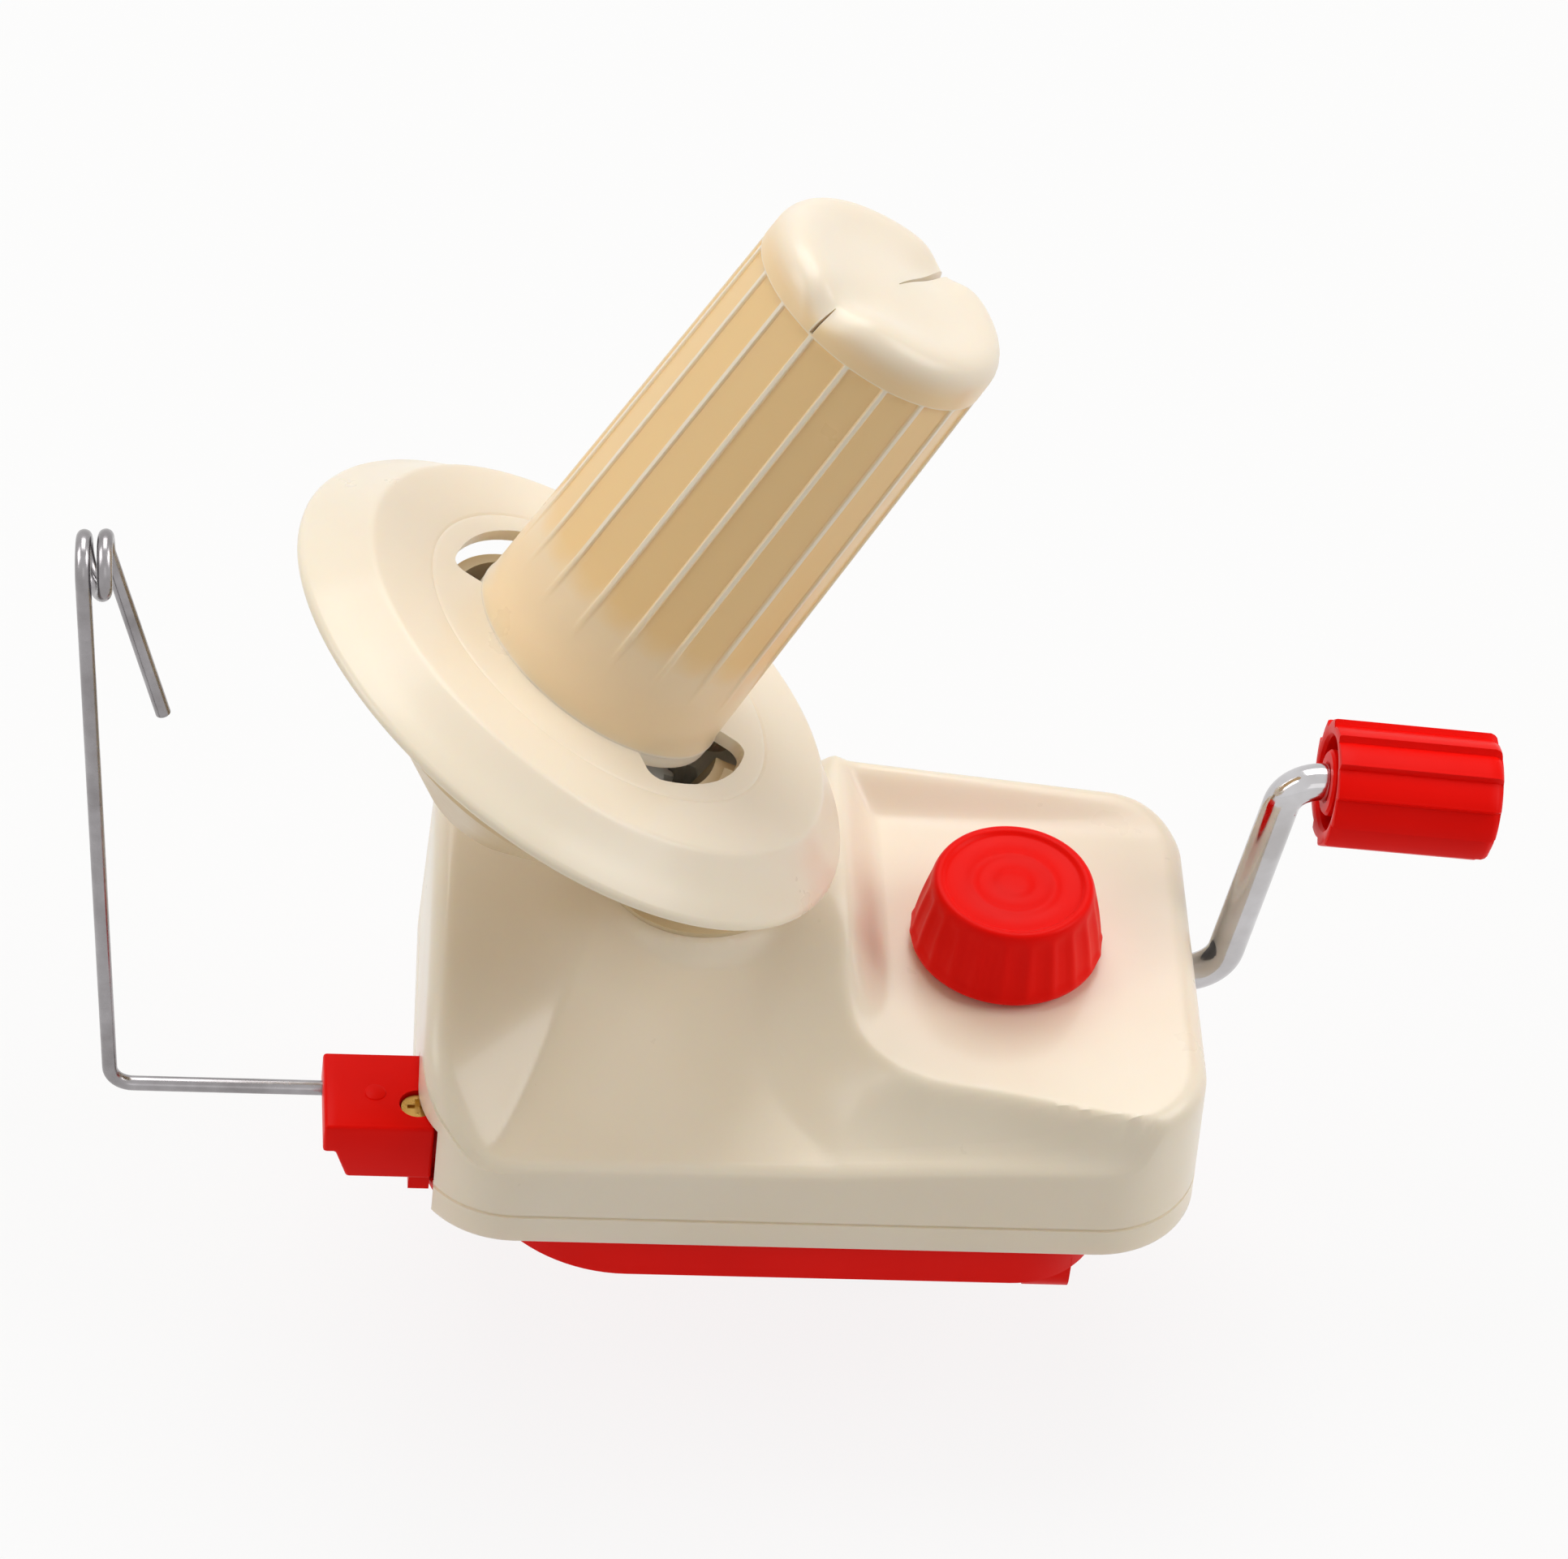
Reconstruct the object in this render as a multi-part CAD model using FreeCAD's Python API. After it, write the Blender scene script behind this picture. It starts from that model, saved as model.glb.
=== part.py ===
import FreeCAD, Part
import math
import os

# Hand-cranked yarn ball winder with a table clamp.
# Frame: +X points to the crank, +Y to the back, +Z up, in millimetres.
# The origin lies on the seat of the base, on the turret's upright axis.

os.makedirs("parts", exist_ok=True)

# Fits and gaps
run_gap = 0.05          # radial play of a journal in its bush
seat_gap = 0.3          # axial or side gap between pieces that turn past each other
join_gap = 0.15         # gap between moulded pieces that are screwed together
through = 200.0         # longer than any piece, for cuts that pass right through

# Housing outline, measured from the turret axis
left_reach = 54.0
right_reach = 94.5
front_reach = 61.0
back_reach = 36.0       # at the left wall
back_taper = 6.0        # how far the back wall comes forward at the right wall
left_taper = 4.6        # how far the left wall comes in at the back
front_corner = 20.0
back_corner = 15.0
wall = 2.5
roof = 2.8
draft_angle = 1.6       # degrees, every outer wall of the housing
skirt_z = 9.0           # bottom edge of the upper shell
groove_z = 15.1         # fine line round the skirt
groove_width = 0.7
groove_depth = 0.45
edge_round = 4.0        # rounding of the shell's upper edge

# Heights of the moulded top
front_top_z = 29.5      # top of the skirt at the middle of the front
collar_z = 47.0         # flat seat round the turret
crest_z = 51.0          # left crest at the back
crest_front_z = 31.0    # left crest at the front
plateau_z = 41.6        # flat with the clamp knob
crest_run = 18.0        # distance over which the crest falls to the front
flank_foot = 34.0       # where the left flank begins, from the left wall
flank_foot_front = 13.3  # the same at the front wall
flank_turn = 15.0       # how far in front of the axis it begins to narrow
ridge_rise = 8.5        # ridge between the scoop and the plateau
ridge_front = -40.0     # where the ridge begins to rise
ridge_back = -8.0       # where it has its full height
plateau_left = 25.5     # edge of the plateau toward the turret
plateau_slant = 19.2    # degrees, front edge of the plateau in plan
plateau_front = front_reach - 11.2  # its distance in front of the axis at the knob side
plateau_mid_x = 47.7
plateau_fall = 10.0     # width of the slope round the plateau
washer_sink = 0.3       # recess of the plateau under the knob's washer
boss_wall = 3.0         # wall of a boss round its bore
grid_columns = 22       # points that carry the moulded top, along and across
grid_rows = 15
grid_margin = 8.0       # how far they reach past the walls

# Base cover
base_inset = 1.0        # from the shell's front and back
base_left = 13.5        # from the shell's left wall
base_right = 17.0       # from the shell's right wall
base_left_corner = 28.0
base_right_corner = 18.0
base_floor = 2.5
base_wall = 2.2
flange_height = 2.5

# Crank
crank_z = 23.5
crank_radius = 3.5
crank_arm_gap = 6.5     # from the housing's wall to where shaft axis and arm axis meet
crank_arm_lean = 7.5    # how far the arm leans outward over its rise
crank_arm_rise = 51.7
crank_bend = 8.0
stub_bend = 7.0
stub_droop = 4.9        # degrees
stub_play = 0.6         # stub's end to the cap inside the grip
bush_radius = 6.0
bush_length = 9.5
inner_bush_x = 30.0
inner_bush_length = 8.0
clip_width = 1.0
clip_radius = 6.0

# Grip
grip_start = 6.8        # distance from the arm's corner along the stub
grip_length = 31.5
grip_radius = 12.3
grip_rib = 1.1
grip_ribs = 12
grip_core = 6.2
grip_shell = 2.2
grip_open_depth = 22.0
cap_thickness = 2.4

# Gears between crank and turret
gear_module = 1.5
pinion_teeth = 14
crown_teeth = 21
mesh_width = 3.2
mesh_addendum = 1.05
mesh_dedendum = 1.3
mesh_tooth = 1.55       # tooth thickness on the pitch line

# Turret and its tilted spindle
tilt = 30.7             # degrees between spindle axis and turret axis
tilt_heading = 13.8     # degrees from +X toward +Y, at rest
disc_offset = 24.0      # disc centre to turret axis, along the heading
disc_z = 106.4          # height of the disc's centre
neck_radius = 13.0
neck_bush_wall = 2.4
drum_radius = 15.0
drum_wall = 2.0
spigot_radius = 6.0
cup_radius = 31.0
cup_wall = 2.0
cup_rim_drop = 5.0      # cup rim below the disc's top face
cup_floor_drop = 23.5
cup_floor = 2.5
post_radius = 3.5

# Gears between the fixed post and the spindle
sun_teeth = 12
planet_teeth = 30
bevel_outer = 71.3      # cone distance of the teeth's large end
bevel_width = 4.8
bevel_addendum = 0.9
bevel_dedendum = 1.2
bevel_tooth = 2.2       # tooth thickness on the pitch line at the large end
gear_back = 2.0

# Winding disc
disc_crease = 49.4
disc_rim = 59.3
disc_rim_drop = 8.8
disc_thickness = 2.5
disc_bore = 22.0
disc_groove_radius = 36.4
slot_outer = 32.2
slot_half_angle = 32.0
slot_heading = 303.0

# Winding spindle
spindle_base = 25.6
spindle_top = 23.8
spindle_height = 96.0
spindle_wall = 2.0
spindle_round = 5.0
spindle_dish = 1.2
flute_count = 18
flute_depth = 0.8
flute_land = 1.1
flute_start = 11.0
flute_end = 87.2
flute_turn = 16.0       # degrees, the first land
slit_width = 1.0
slit_depth = 9.0
slit_round = 4.0
slit_heading = 215.0
hub_radius = 8.0
hub_height = 22.0
axle_radius = 3.0
hub_bush_radius = 4.9
hub_bush_length = 6.0

# Clamp
knob_x = right_reach - 37.0
knob_y = -12.0
knob_bottom_radius = 18.3
knob_top_radius = 15.0
knob_height = 16.0
knob_rim = 2.0
knob_dish = 1.0
knob_scallops = 20
screw_radius = 4.0
screw_end_z = -42.0
washer_radius = 9.0
washer_thickness = 0.8
jaw_top_z = -24.0
jaw_thickness = 8.0
jaw_width = 16.0
jaw_reach = 41.5
jaw_pad = 2.0
tongue_thickness = 3.0
tongue_top_z = 14.0
tongue_x = knob_x + 9.0

# Yarn guide
bracket_left = left_reach + 16.0
bracket_front = front_reach - 9.3
bracket_back = bracket_front - 19.4
bracket_top_z = 28.7
bracket_bottom_z = 15.5
wire_radius = 1.4
wire_y = -bracket_back - 4.7
wire_z = 23.9
wire_bend_x = -bracket_left - 39.2
wire_bend = 4.5
wire_depth = 18.0       # how far the wire is pushed into the bracket
eye_z = 148.9
eye_radius = 5.0
eye_pitch = 3.8         # from one loop to the next
eye_drift = 0.4         # sideways share of a loop's upper half
wire_lean = 4.35        # degrees, upright leaning outward
tail_length = 40.5
tail_splay = 12.0       # degrees between the upright and the tail
tail_bend = 7.0

# Screws
screw_head = 3.0
screw_head_height = 1.8
screw_shank = 1.5
boss_radius = 4.6

Z = FreeCAD.Vector(0, 0, 1)
X = FreeCAD.Vector(1, 0, 0)
Y = FreeCAD.Vector(0, 1, 0)


def vec(x, y, z):
    return FreeCAD.Vector(x, y, z)


def rod(radius, base, length, direction=Z):
    return Part.makeCylinder(radius, length, base, direction)


def tube(outer, inner, base, length, direction=Z):
    return rod(outer, base, length, direction).cut(rod(inner, base, length, direction))


def block(x0, x1, y0, y1, z0, z1):
    return Part.makeBox(x1 - x0, y1 - y0, z1 - z0, vec(x0, y0, z0))


def prism(points, direction):
    loop = Part.makePolygon([vec(*p) for p in points + [points[0]]])
    return Part.Face(loop).extrude(direction)


def save(shape, node):
    shape.exportStep("parts/" + node + ".step")
    print(node, len(shape.Solids), round(shape.Volume, 1))


def smooth_min(a, b, reach):
    return 0.5 * (a + b - math.sqrt((a - b) ** 2 + reach ** 2))


def smooth_max(a, b, reach):
    return 0.5 * (a + b + math.sqrt((a - b) ** 2 + reach ** 2))


def smooth_step(low, high, value):
    t = min(1.0, max(0.0, (value - low) / (high - low)))
    return t * t * (3.0 - 2.0 * t)


# Rounded outlines

def crossing(line_a, line_b):
    (px, py, ux, uy) = line_a
    (qx, qy, vx, vy) = line_b
    t = ((qx - px) * vy - (qy - py) * vx) / (ux * vy - uy * vx)
    return (px + t * ux, py + t * uy)


def rounded_loop(corners, radii, z):
    count = len(corners)
    starts = []
    ends = []
    middles = []
    for i in range(count):
        here = vec(corners[i][0], corners[i][1], z)
        before = vec(corners[i - 1][0], corners[i - 1][1], z)
        after = vec(corners[(i + 1) % count][0], corners[(i + 1) % count][1], z)
        to_before = (before - here).normalize()
        to_after = (after - here).normalize()
        half = to_before.getAngle(to_after) / 2.0
        reach = radii[i] / math.tan(half)
        inward = (to_before + to_after).normalize()
        centre = here + inward * (radii[i] / math.sin(half))
        starts.append(here + to_before * reach)
        ends.append(here + to_after * reach)
        middles.append(centre - inward * radii[i])
    edges = []
    for i in range(count):
        edges.append(Part.Arc(starts[i], middles[i], ends[i]).toShape())
        edges.append(Part.LineSegment(ends[i], starts[(i + 1) % count]).toShape())
    return Part.Wire(edges)


def housing_loop(inset, z, front_round=front_corner, back_round=back_corner):
    back_right = back_reach - back_taper
    span = left_reach + right_reach
    depth = front_reach + back_reach
    shift = inset * math.hypot(span, back_taper) / span
    left_shift = inset * math.hypot(depth, left_taper) / depth
    left = (-left_reach + left_shift, -front_reach, left_taper, depth)
    right = (right_reach - inset, 0.0, 0.0, 1.0)
    front = (0.0, -front_reach + inset, 1.0, 0.0)
    back = (-left_reach, back_reach - shift, span, back_right - back_reach)
    corners = [
        crossing(left, front),
        crossing(front, right),
        crossing(right, back),
        crossing(back, left),
    ]
    front_radius = front_round - inset
    back_radius = back_round - inset
    radii = [front_radius, front_radius, back_radius, back_radius]
    return rounded_loop(corners, radii, z)


def housing_prism(inset, z0, z1):
    lean = math.tan(math.radians(draft_angle))
    low = housing_loop(inset + lean * (z0 - skirt_z), z0)
    high = housing_loop(inset + lean * (z1 - skirt_z), z1)
    return Part.makeLoft([low, high], True, True)


# Moulded top of the housing

def scoop_height(y):
    t = max(0.0, (y + front_reach) / (front_reach - neck_radius))
    rising = front_top_z + (collar_z + 0.8 - front_top_z) * t ** 1.6
    return smooth_min(rising, collar_z + 0.6, 2.0)


def crest_height(y):
    rise = crest_z - crest_front_z
    return crest_z - rise * math.exp(-(y + front_reach - 3.0) / crest_run)


def plateau_distance(x, y):
    slant = math.radians(plateau_slant)
    ahead = -(x - plateau_mid_x) * math.sin(slant) - (y + plateau_front) * math.cos(slant)
    return smooth_max(plateau_left - x, ahead, plateau_fall)


def ridge_height(x, y):
    along = smooth_step(ridge_front, ridge_back, y)
    across = 1.0 - smooth_step(plateau_left + 3.0, plateau_left + 13.0, x)
    return plateau_z + ridge_rise * along * across


def flank_width(y):
    forward = max(0.0, -flank_turn - y) / (front_reach - flank_turn)
    return flank_foot + (flank_foot_front - flank_foot) * min(forward, 1.15)


def top_height(x, y):
    low = scoop_height(y)
    left_share = smooth_step(left_reach - flank_width(y), left_reach - 7.0, -x)
    low = low + (crest_height(y) - low) * left_share
    right_share = 1.0 - smooth_step(-1.0, 9.0, plateau_distance(x, y))
    return low + (ridge_height(x, y) - low) * right_share


def top_cutter(drop):
    x0 = -left_reach - grid_margin
    y0 = -front_reach - grid_margin
    x_step = (right_reach + grid_margin - x0) / (grid_columns - 1)
    y_step = (back_reach + grid_margin - y0) / (grid_rows - 1)
    rows = []
    for i in range(grid_columns):
        x = x0 + i * x_step
        row = []
        for j in range(grid_rows):
            y = y0 + j * y_step
            row.append(vec(x, y, top_height(x, y) - drop))
        rows.append(row)
    surface = Part.BSplineSurface()
    surface.interpolate(rows)
    return surface.toShape().extrude(vec(0, 0, 60.0))


def boss_places():
    left = -left_reach + 24.0
    right = right_reach - 30.5
    front = -front_reach + 17.0
    back = back_reach - back_taper - 16.0
    return [(left, front + 8.0), (right - 7.0, front), (left + 1.0, back + 2.0), (right, back)]


def upper_shell():
    high = crest_z + 8.0
    outer = housing_prism(0.0, skirt_z, high).cut(top_cutter(0.0))
    rims = []
    for edge in outer.Edges:
        box = edge.BoundBox
        faces = outer.ancestorsOfType(edge, Part.Face)
        bumpy = [f for f in faces if f.Surface.TypeId == "Part::GeomBSplineSurface"]
        if box.ZMin > skirt_z + 5.0 and len(bumpy) > 0 and len(faces) == 2:
            if len(bumpy) == 1:
                rims.append(edge)
    outer = outer.makeFillet(edge_round, rims)
    inside = housing_prism(wall, skirt_z - 1.0, high).cut(top_cutter(roof))
    shell = outer.cut(inside)
    bosses = []
    for (x, y) in boss_places():
        bosses.append(rod(boss_radius, vec(x, y, skirt_z + flange_height + join_gap), high))
    bosses.append(rod(screw_radius + boss_wall, vec(knob_x, knob_y, 30.0), high))
    bosses.append(rod(bush_radius + boss_wall, vec(right_reach - bush_length, 0, crank_z), through, X))
    filler = Part.makeCompound(bosses).common(outer)
    shell = shell.fuse(filler.Solids)
    return cut_shell(shell)


def cut_shell(shell):
    cuts = []
    neck_bush = neck_radius + run_gap + neck_bush_wall
    cuts.append(rod(neck_bush, vec(0, 0, collar_z - 2.0 * roof), through))
    cuts.append(rod(neck_bush + 3.0, vec(0, 0, collar_z), through))
    cuts.append(rod(bush_radius, vec(right_reach - bush_length - 2.0, 0, crank_z), through, X))
    cuts.append(rod(screw_radius + seat_gap, vec(knob_x, knob_y, 20.0), through))
    seat_z = plateau_z - washer_sink
    cuts.append(rod(washer_radius + seat_gap, vec(knob_x, knob_y, seat_z), through))
    for (x, y) in boss_places():
        cuts.append(rod(screw_shank, vec(x, y, 5.0), 19.0))
    cuts.append(block(-left_reach - 5.0, -left_reach + 4.8, -front_reach - 2.0, -bracket_back + 0.5,
                      skirt_z - 2.0, bracket_top_z + 0.4))
    outer_ring = housing_prism(-3.0, groove_z, groove_z + groove_width)
    inner_ring = housing_prism(groove_depth, groove_z - 1.0, groove_z + groove_width + 1.0)
    cuts.append(outer_ring.cut(inner_ring))
    for tool in cuts:
        shell = shell.cut(tool)
    return shell


# Base cover

def base_loop(inset, z):
    left = -left_reach + base_left + inset
    right = right_reach - base_right - inset
    front = -front_reach + base_inset + inset
    corners = [(left, front), (right, front)]
    for x in (right, left):
        share = (x + left_reach) / (left_reach + right_reach)
        corners.append((x, back_reach - back_taper * share - base_inset - inset))
    left_radius = base_left_corner - inset
    right_radius = base_right_corner - inset
    return rounded_loop(corners, [left_radius, right_radius, right_radius, left_radius], z)


def base_prism(inset, z0, z1):
    return Part.Face(base_loop(inset, z0)).extrude(vec(0, 0, z1 - z0))


def base_cover():
    flange_top = skirt_z + flange_height
    flange = Part.Face(housing_loop(wall + join_gap, skirt_z)).extrude(vec(0, 0, flange_height))
    cover = base_prism(0.0, 0.0, skirt_z).fuse(flange)
    hollow = base_prism(base_wall, base_floor, flange_top + 1.0)
    cover = cover.cut(hollow)
    bosses = []
    for (x, y) in boss_places():
        bosses.append(rod(boss_radius, vec(x, y, 0), flange_top))
    bosses.append(rod(post_radius + 4.0, vec(0, 0, 0), crank_z - crank_radius - 12.0))
    pedestal = block(inner_bush_x + 0.6, inner_bush_x + inner_bush_length - 0.6, -9.0, 9.0,
                     base_floor - 1.0, crank_z)
    bosses.append(pedestal)
    bosses.append(rod(9.0, vec(inner_bush_x + 0.6, 0, crank_z), inner_bush_length - 1.2, X))
    bosses.append(rod(screw_radius + 4.0, vec(knob_x, knob_y, 0), flange_top))
    bosses.append(bracket_ear())
    bosses.append(front_lug())
    cover = cover.fuse(bosses)
    cuts = []
    for (x, y) in boss_places():
        cuts.append(rod(screw_shank + 0.2, vec(x, y, -1.0), flange_top + 2.0))
        cuts.append(rod(screw_head + 0.3, vec(x, y, -1.0), screw_head_height + 1.4))
    cuts.append(rod(post_radius, vec(0, 0, base_floor), 30.0))
    cuts.append(rod(bush_radius, vec(inner_bush_x - 1.0, 0, crank_z), inner_bush_length + 2.0, X))
    cuts.append(rod(screw_radius + seat_gap, vec(knob_x, knob_y, -1.0), flange_top + 2.0))
    half = tongue_thickness / 2.0 + seat_gap
    cuts.append(block(tongue_x - half, tongue_x + half, knob_y - jaw_width / 2.0 + 1.7,
                      knob_y + jaw_width / 2.0 - 1.7, -1.0, flange_top + 1.0))
    cuts.append(rod(screw_shank, bracket_screw_place(bracket_bottom_z - 5.0), 10.0))
    for tool in cuts:
        cover = cover.cut(tool)
    return cover


def front_lug():
    right = right_reach - 23.0
    front = -front_reach + 5.5
    lug = block(right - 8.5, right, front, front + 18.0, -8.0, base_floor)
    low_edges = [e for e in lug.Edges if e.BoundBox.ZMax < -7.9 and e.BoundBox.YLength < 0.1]
    return lug.makeFillet(5.0, low_edges[:1])


def bracket_ear():
    back = -bracket_back - 1.2
    middle = -left_reach + 4.4
    outer = block(-left_reach + 0.5, middle, -bracket_front + 3.2, back, skirt_z + 0.6, bracket_bottom_z)
    inner = block(middle, -left_reach + 13.0, -bracket_front + 6.6, back, skirt_z + 0.6, bracket_bottom_z)
    return outer.fuse(inner)


def bracket_screw_place(z):
    return vec(-left_reach + 1.3, -bracket_front + 6.6, z)


def base_screws():
    screws = []
    head_z = 0.4
    for (x, y) in boss_places():
        head = rod(screw_head, vec(x, y, head_z), screw_head_height)
        head = head.cut(block(x - 2.0, x + 2.0, y - 0.4, y + 0.4, head_z - 1.0, head_z + 0.9))
        head = head.cut(block(x - 0.4, x + 0.4, y - 2.0, y + 2.0, head_z - 1.0, head_z + 0.9))
        shank = rod(screw_shank, vec(x, y, head_z + screw_head_height), 20.0)
        screws.append(head.fuse(shank))
    return Part.makeCompound(screws)


# Yarn guide: bracket, its screw and the wire

def guide_bracket():
    left = -bracket_left
    right = -left_reach + 4.5
    top = bracket_top_z
    low = bracket_bottom_z
    outline = [
        (left, -bracket_front, top),
        (left, -bracket_front, low + 6.6),
        (left + 2.3, -bracket_front, low + 6.4),
        (left + 4.6, -bracket_front, low),
        (right, -bracket_front, low),
        (right, -bracket_front, top),
    ]
    body = prism(outline, vec(0, bracket_front - bracket_back, 0))
    long_edges = [e for e in body.Edges if e.BoundBox.ZMin > top - 0.1 and e.BoundBox.XLength > 3.0]
    body = body.makeFillet(1.2, long_edges)
    tongue = block(right - 0.5, right + 8.0, -bracket_front + 5.2, -bracket_back - 1.2, low, low + 8.0)
    body = body.fuse(tongue)
    body = body.cut(rod(wire_radius + run_gap, vec(left - 1.0, wire_y, wire_z), wire_depth + 1.0, X))
    body = body.cut(rod(screw_head + 0.4, bracket_screw_place(top - 2.6), 10.0))
    body = body.cut(rod(screw_shank + 0.1, bracket_screw_place(low - 1.0), 20.0))
    button = rod(2.0, vec(left + 9.5, -bracket_front + 9.2, top - 0.6), 0.85)
    return body.fuse(button).removeSplitter()


def bracket_screw():
    head_z = bracket_top_z - 2.6
    head = rod(screw_head, bracket_screw_place(head_z), screw_head_height)
    place = bracket_screw_place(head_z)
    top = head_z + screw_head_height
    slot = block(place.x - 1.9, place.x + 1.9, place.y - 0.45, place.y + 0.45, top - 1.0, top + 1.0)
    cross = block(place.x - 0.45, place.x + 0.45, place.y - 1.9, place.y + 1.9, top - 1.0, top + 1.0)
    shank_z = bracket_bottom_z - 4.5
    shank = rod(screw_shank, bracket_screw_place(shank_z), head_z - shank_z)
    return head.cut(slot).cut(cross).fuse(shank)


def bend_between(before, corner, after, radius):
    to_before = (before - corner).normalize()
    to_after = (after - corner).normalize()
    half = to_before.getAngle(to_after) / 2.0
    reach = radius / math.tan(half)
    inward = (to_before + to_after).normalize()
    middle = corner + inward * (radius / math.sin(half) - radius)
    return (corner + to_before * reach, middle, corner + to_after * reach)


def wire_path():
    lean = math.radians(wire_lean)
    up = vec(-math.sin(lean), 0, math.cos(lean))
    side = vec(math.cos(lean), 0, math.sin(lean))
    back = vec(0, 1, 0)
    corner = vec(wire_bend_x, wire_y, wire_z)
    start = vec(-bracket_left + wire_depth - 0.5, wire_y, wire_z)
    eye_start = corner + up * ((eye_z - wire_z) / math.cos(lean))
    (a, m, b) = bend_between(start, corner, eye_start, wire_bend)
    edges = [Part.LineSegment(start, a), Part.Arc(a, m, b), Part.LineSegment(b, eye_start)]
    here = eye_start
    rising = 1.0
    for shift in (eye_drift, eye_pitch - eye_drift, eye_drift):
        step = side * shift + back * (2.0 * eye_radius * rising)
        there = here + step
        middle = here + step * 0.5 + up * (step.Length / 2.0 * rising)
        edges.append(Part.Arc(here, middle, there))
        here = there
        rising = -rising
    splay = math.radians(tail_splay)
    corner = here - up * (tail_bend * math.tan(splay / 2.0) + 0.5)
    tail_end = corner + (side * math.sin(splay) - up * math.cos(splay)) * tail_length
    (a, m, b) = bend_between(here, corner, tail_end, tail_bend)
    edges.append(Part.LineSegment(here, a))
    edges.append(Part.Arc(a, m, b))
    edges.append(Part.LineSegment(b, tail_end))
    return Part.Wire([e.toShape() for e in edges])


def eye_clearance(path):
    points = path.discretize(Distance=0.4)
    least = 1e9
    apart = int(12.0 * wire_radius / 0.4)
    for i in range(len(points)):
        for j in range(i + apart, len(points)):
            least = min(least, points[i].distanceToPoint(points[j]))
    return least - 2.0 * wire_radius


def swept(path, radius):
    first = path.OrderedEdges[0]
    start = first.valueAt(first.FirstParameter)
    direction = first.tangentAt(first.FirstParameter)
    ring = Part.Wire(Part.makeCircle(radius, start, direction))
    return path.makePipeShell([ring], True, False)


def guide_wire():
    path = wire_path()
    print("least gap of the wire to itself", round(eye_clearance(path), 2))
    return swept(path, wire_radius)


# Crank, its gear, pin and clips

def crank_corners():
    low = vec(right_reach + crank_arm_gap, 0, crank_z)
    high = low + vec(crank_arm_lean, 0, crank_arm_rise)
    return (low, high, high + stub_axis() * stub_end())


def grip_end():
    return grip_start + grip_length


def stub_end():
    return grip_end() - cap_thickness - stub_play


def grip_clip_start():
    return stub_end() - 3.0


def stub_axis():
    droop = math.radians(stub_droop)
    return vec(math.cos(droop), 0, -math.sin(droop))


def stub_point(distance):
    return crank_corners()[1] + stub_axis() * distance


def pinion_radius():
    return gear_module * pinion_teeth / 2.0


def crown_radius():
    return gear_module * crown_teeth / 2.0


def crown_face_x():
    return pinion_radius() + mesh_dedendum


def crank_rod():
    (low, high, end) = crank_corners()
    start = vec(crown_face_x() - 3.0, 0, crank_z)
    (a, m, b) = bend_between(start, low, high, crank_bend)
    (c, n, d) = bend_between(low, high, end, stub_bend)
    edges = [
        Part.LineSegment(start, a),
        Part.Arc(a, m, b),
        Part.LineSegment(b, c),
        Part.Arc(c, n, d),
        Part.LineSegment(d, end),
    ]
    body = swept(Part.Wire([e.toShape() for e in edges]), crank_radius)
    for place in clip_places():
        body = body.cut(tube(crank_radius + 2.0, crank_radius - 0.6, place, clip_width, X))
    groove = stub_point(grip_clip_start())
    body = body.cut(tube(crank_radius + 2.0, crank_radius - 0.6, groove, clip_width, stub_axis()))
    return body.cut(rod(1.0, gear_pin_place(), 20.0))


def clip_places():
    right_face = right_reach - bush_length
    inner_face = inner_bush_x + inner_bush_length
    return [
        vec(right_face - seat_gap - clip_width, 0, crank_z),
        vec(inner_face + seat_gap, 0, crank_z),
    ]


def crank_clips():
    clips = []
    for place in clip_places():
        clips.append(tube(clip_radius, crank_radius - 0.6, place, clip_width, X))
    return Part.makeCompound(clips)


def grip_clip():
    groove = stub_point(grip_clip_start())
    return tube(clip_radius - 0.6, crank_radius - 0.6, groove, clip_width, stub_axis())


def gear_pin_place():
    return vec(crown_face_x() + 10.0, 0, crank_z - 8.0)


def gear_pin():
    return rod(1.0, gear_pin_place(), 16.0)


def crown_gear():
    face = crown_face_x()
    tip = pinion_radius() - mesh_addendum
    body = rod(crown_radius() + mesh_width / 2.0 + 0.4, vec(face, 0, crank_z), 3.0, X)
    body = body.fuse(rod(7.0, vec(face, 0, crank_z), 15.0, X))
    inner = crown_radius() - mesh_width / 2.0
    outer = crown_radius() + mesh_width / 2.0
    teeth = []
    half_root = mesh_tooth / 2.0 + 0.2
    half_tip = mesh_tooth / 2.0 - 0.3
    for i in range(crown_teeth):
        profile = [
            (face + 0.5, -half_root, inner),
            (face, -half_root, inner),
            (tip, -half_tip, inner),
            (tip, half_tip, inner),
            (face, half_root, inner),
            (face + 0.5, half_root, inner),
        ]
        tooth = prism(profile, vec(0, 0, outer - inner))
        tooth.rotate(vec(0, 0, 0), X, (i + 0.5) * 360.0 / crown_teeth)
        tooth.translate(vec(0, 0, crank_z))
        teeth.append(tooth)
    body = body.fuse(teeth)
    body = body.cut(rod(crank_radius, vec(face - 3.0, 0, crank_z), through, X))
    return body.cut(rod(1.0, gear_pin_place(), 20.0))


def crank_bush():
    place = vec(right_reach - bush_length, 0, crank_z)
    length = bush_length - math.tan(math.radians(draft_angle)) * (crank_z - skirt_z)
    return tube(bush_radius, crank_radius + run_gap, place, length, X)


def inner_bush():
    place = vec(inner_bush_x, 0, crank_z)
    return tube(bush_radius, crank_radius + run_gap, place, inner_bush_length, X)


# Grip that turns on the crank's stub

def grip_frame(shape):
    shape.rotate(vec(0, 0, 0), Y, 90.0 + stub_droop)
    shape.translate(crank_corners()[1])
    return shape


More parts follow.
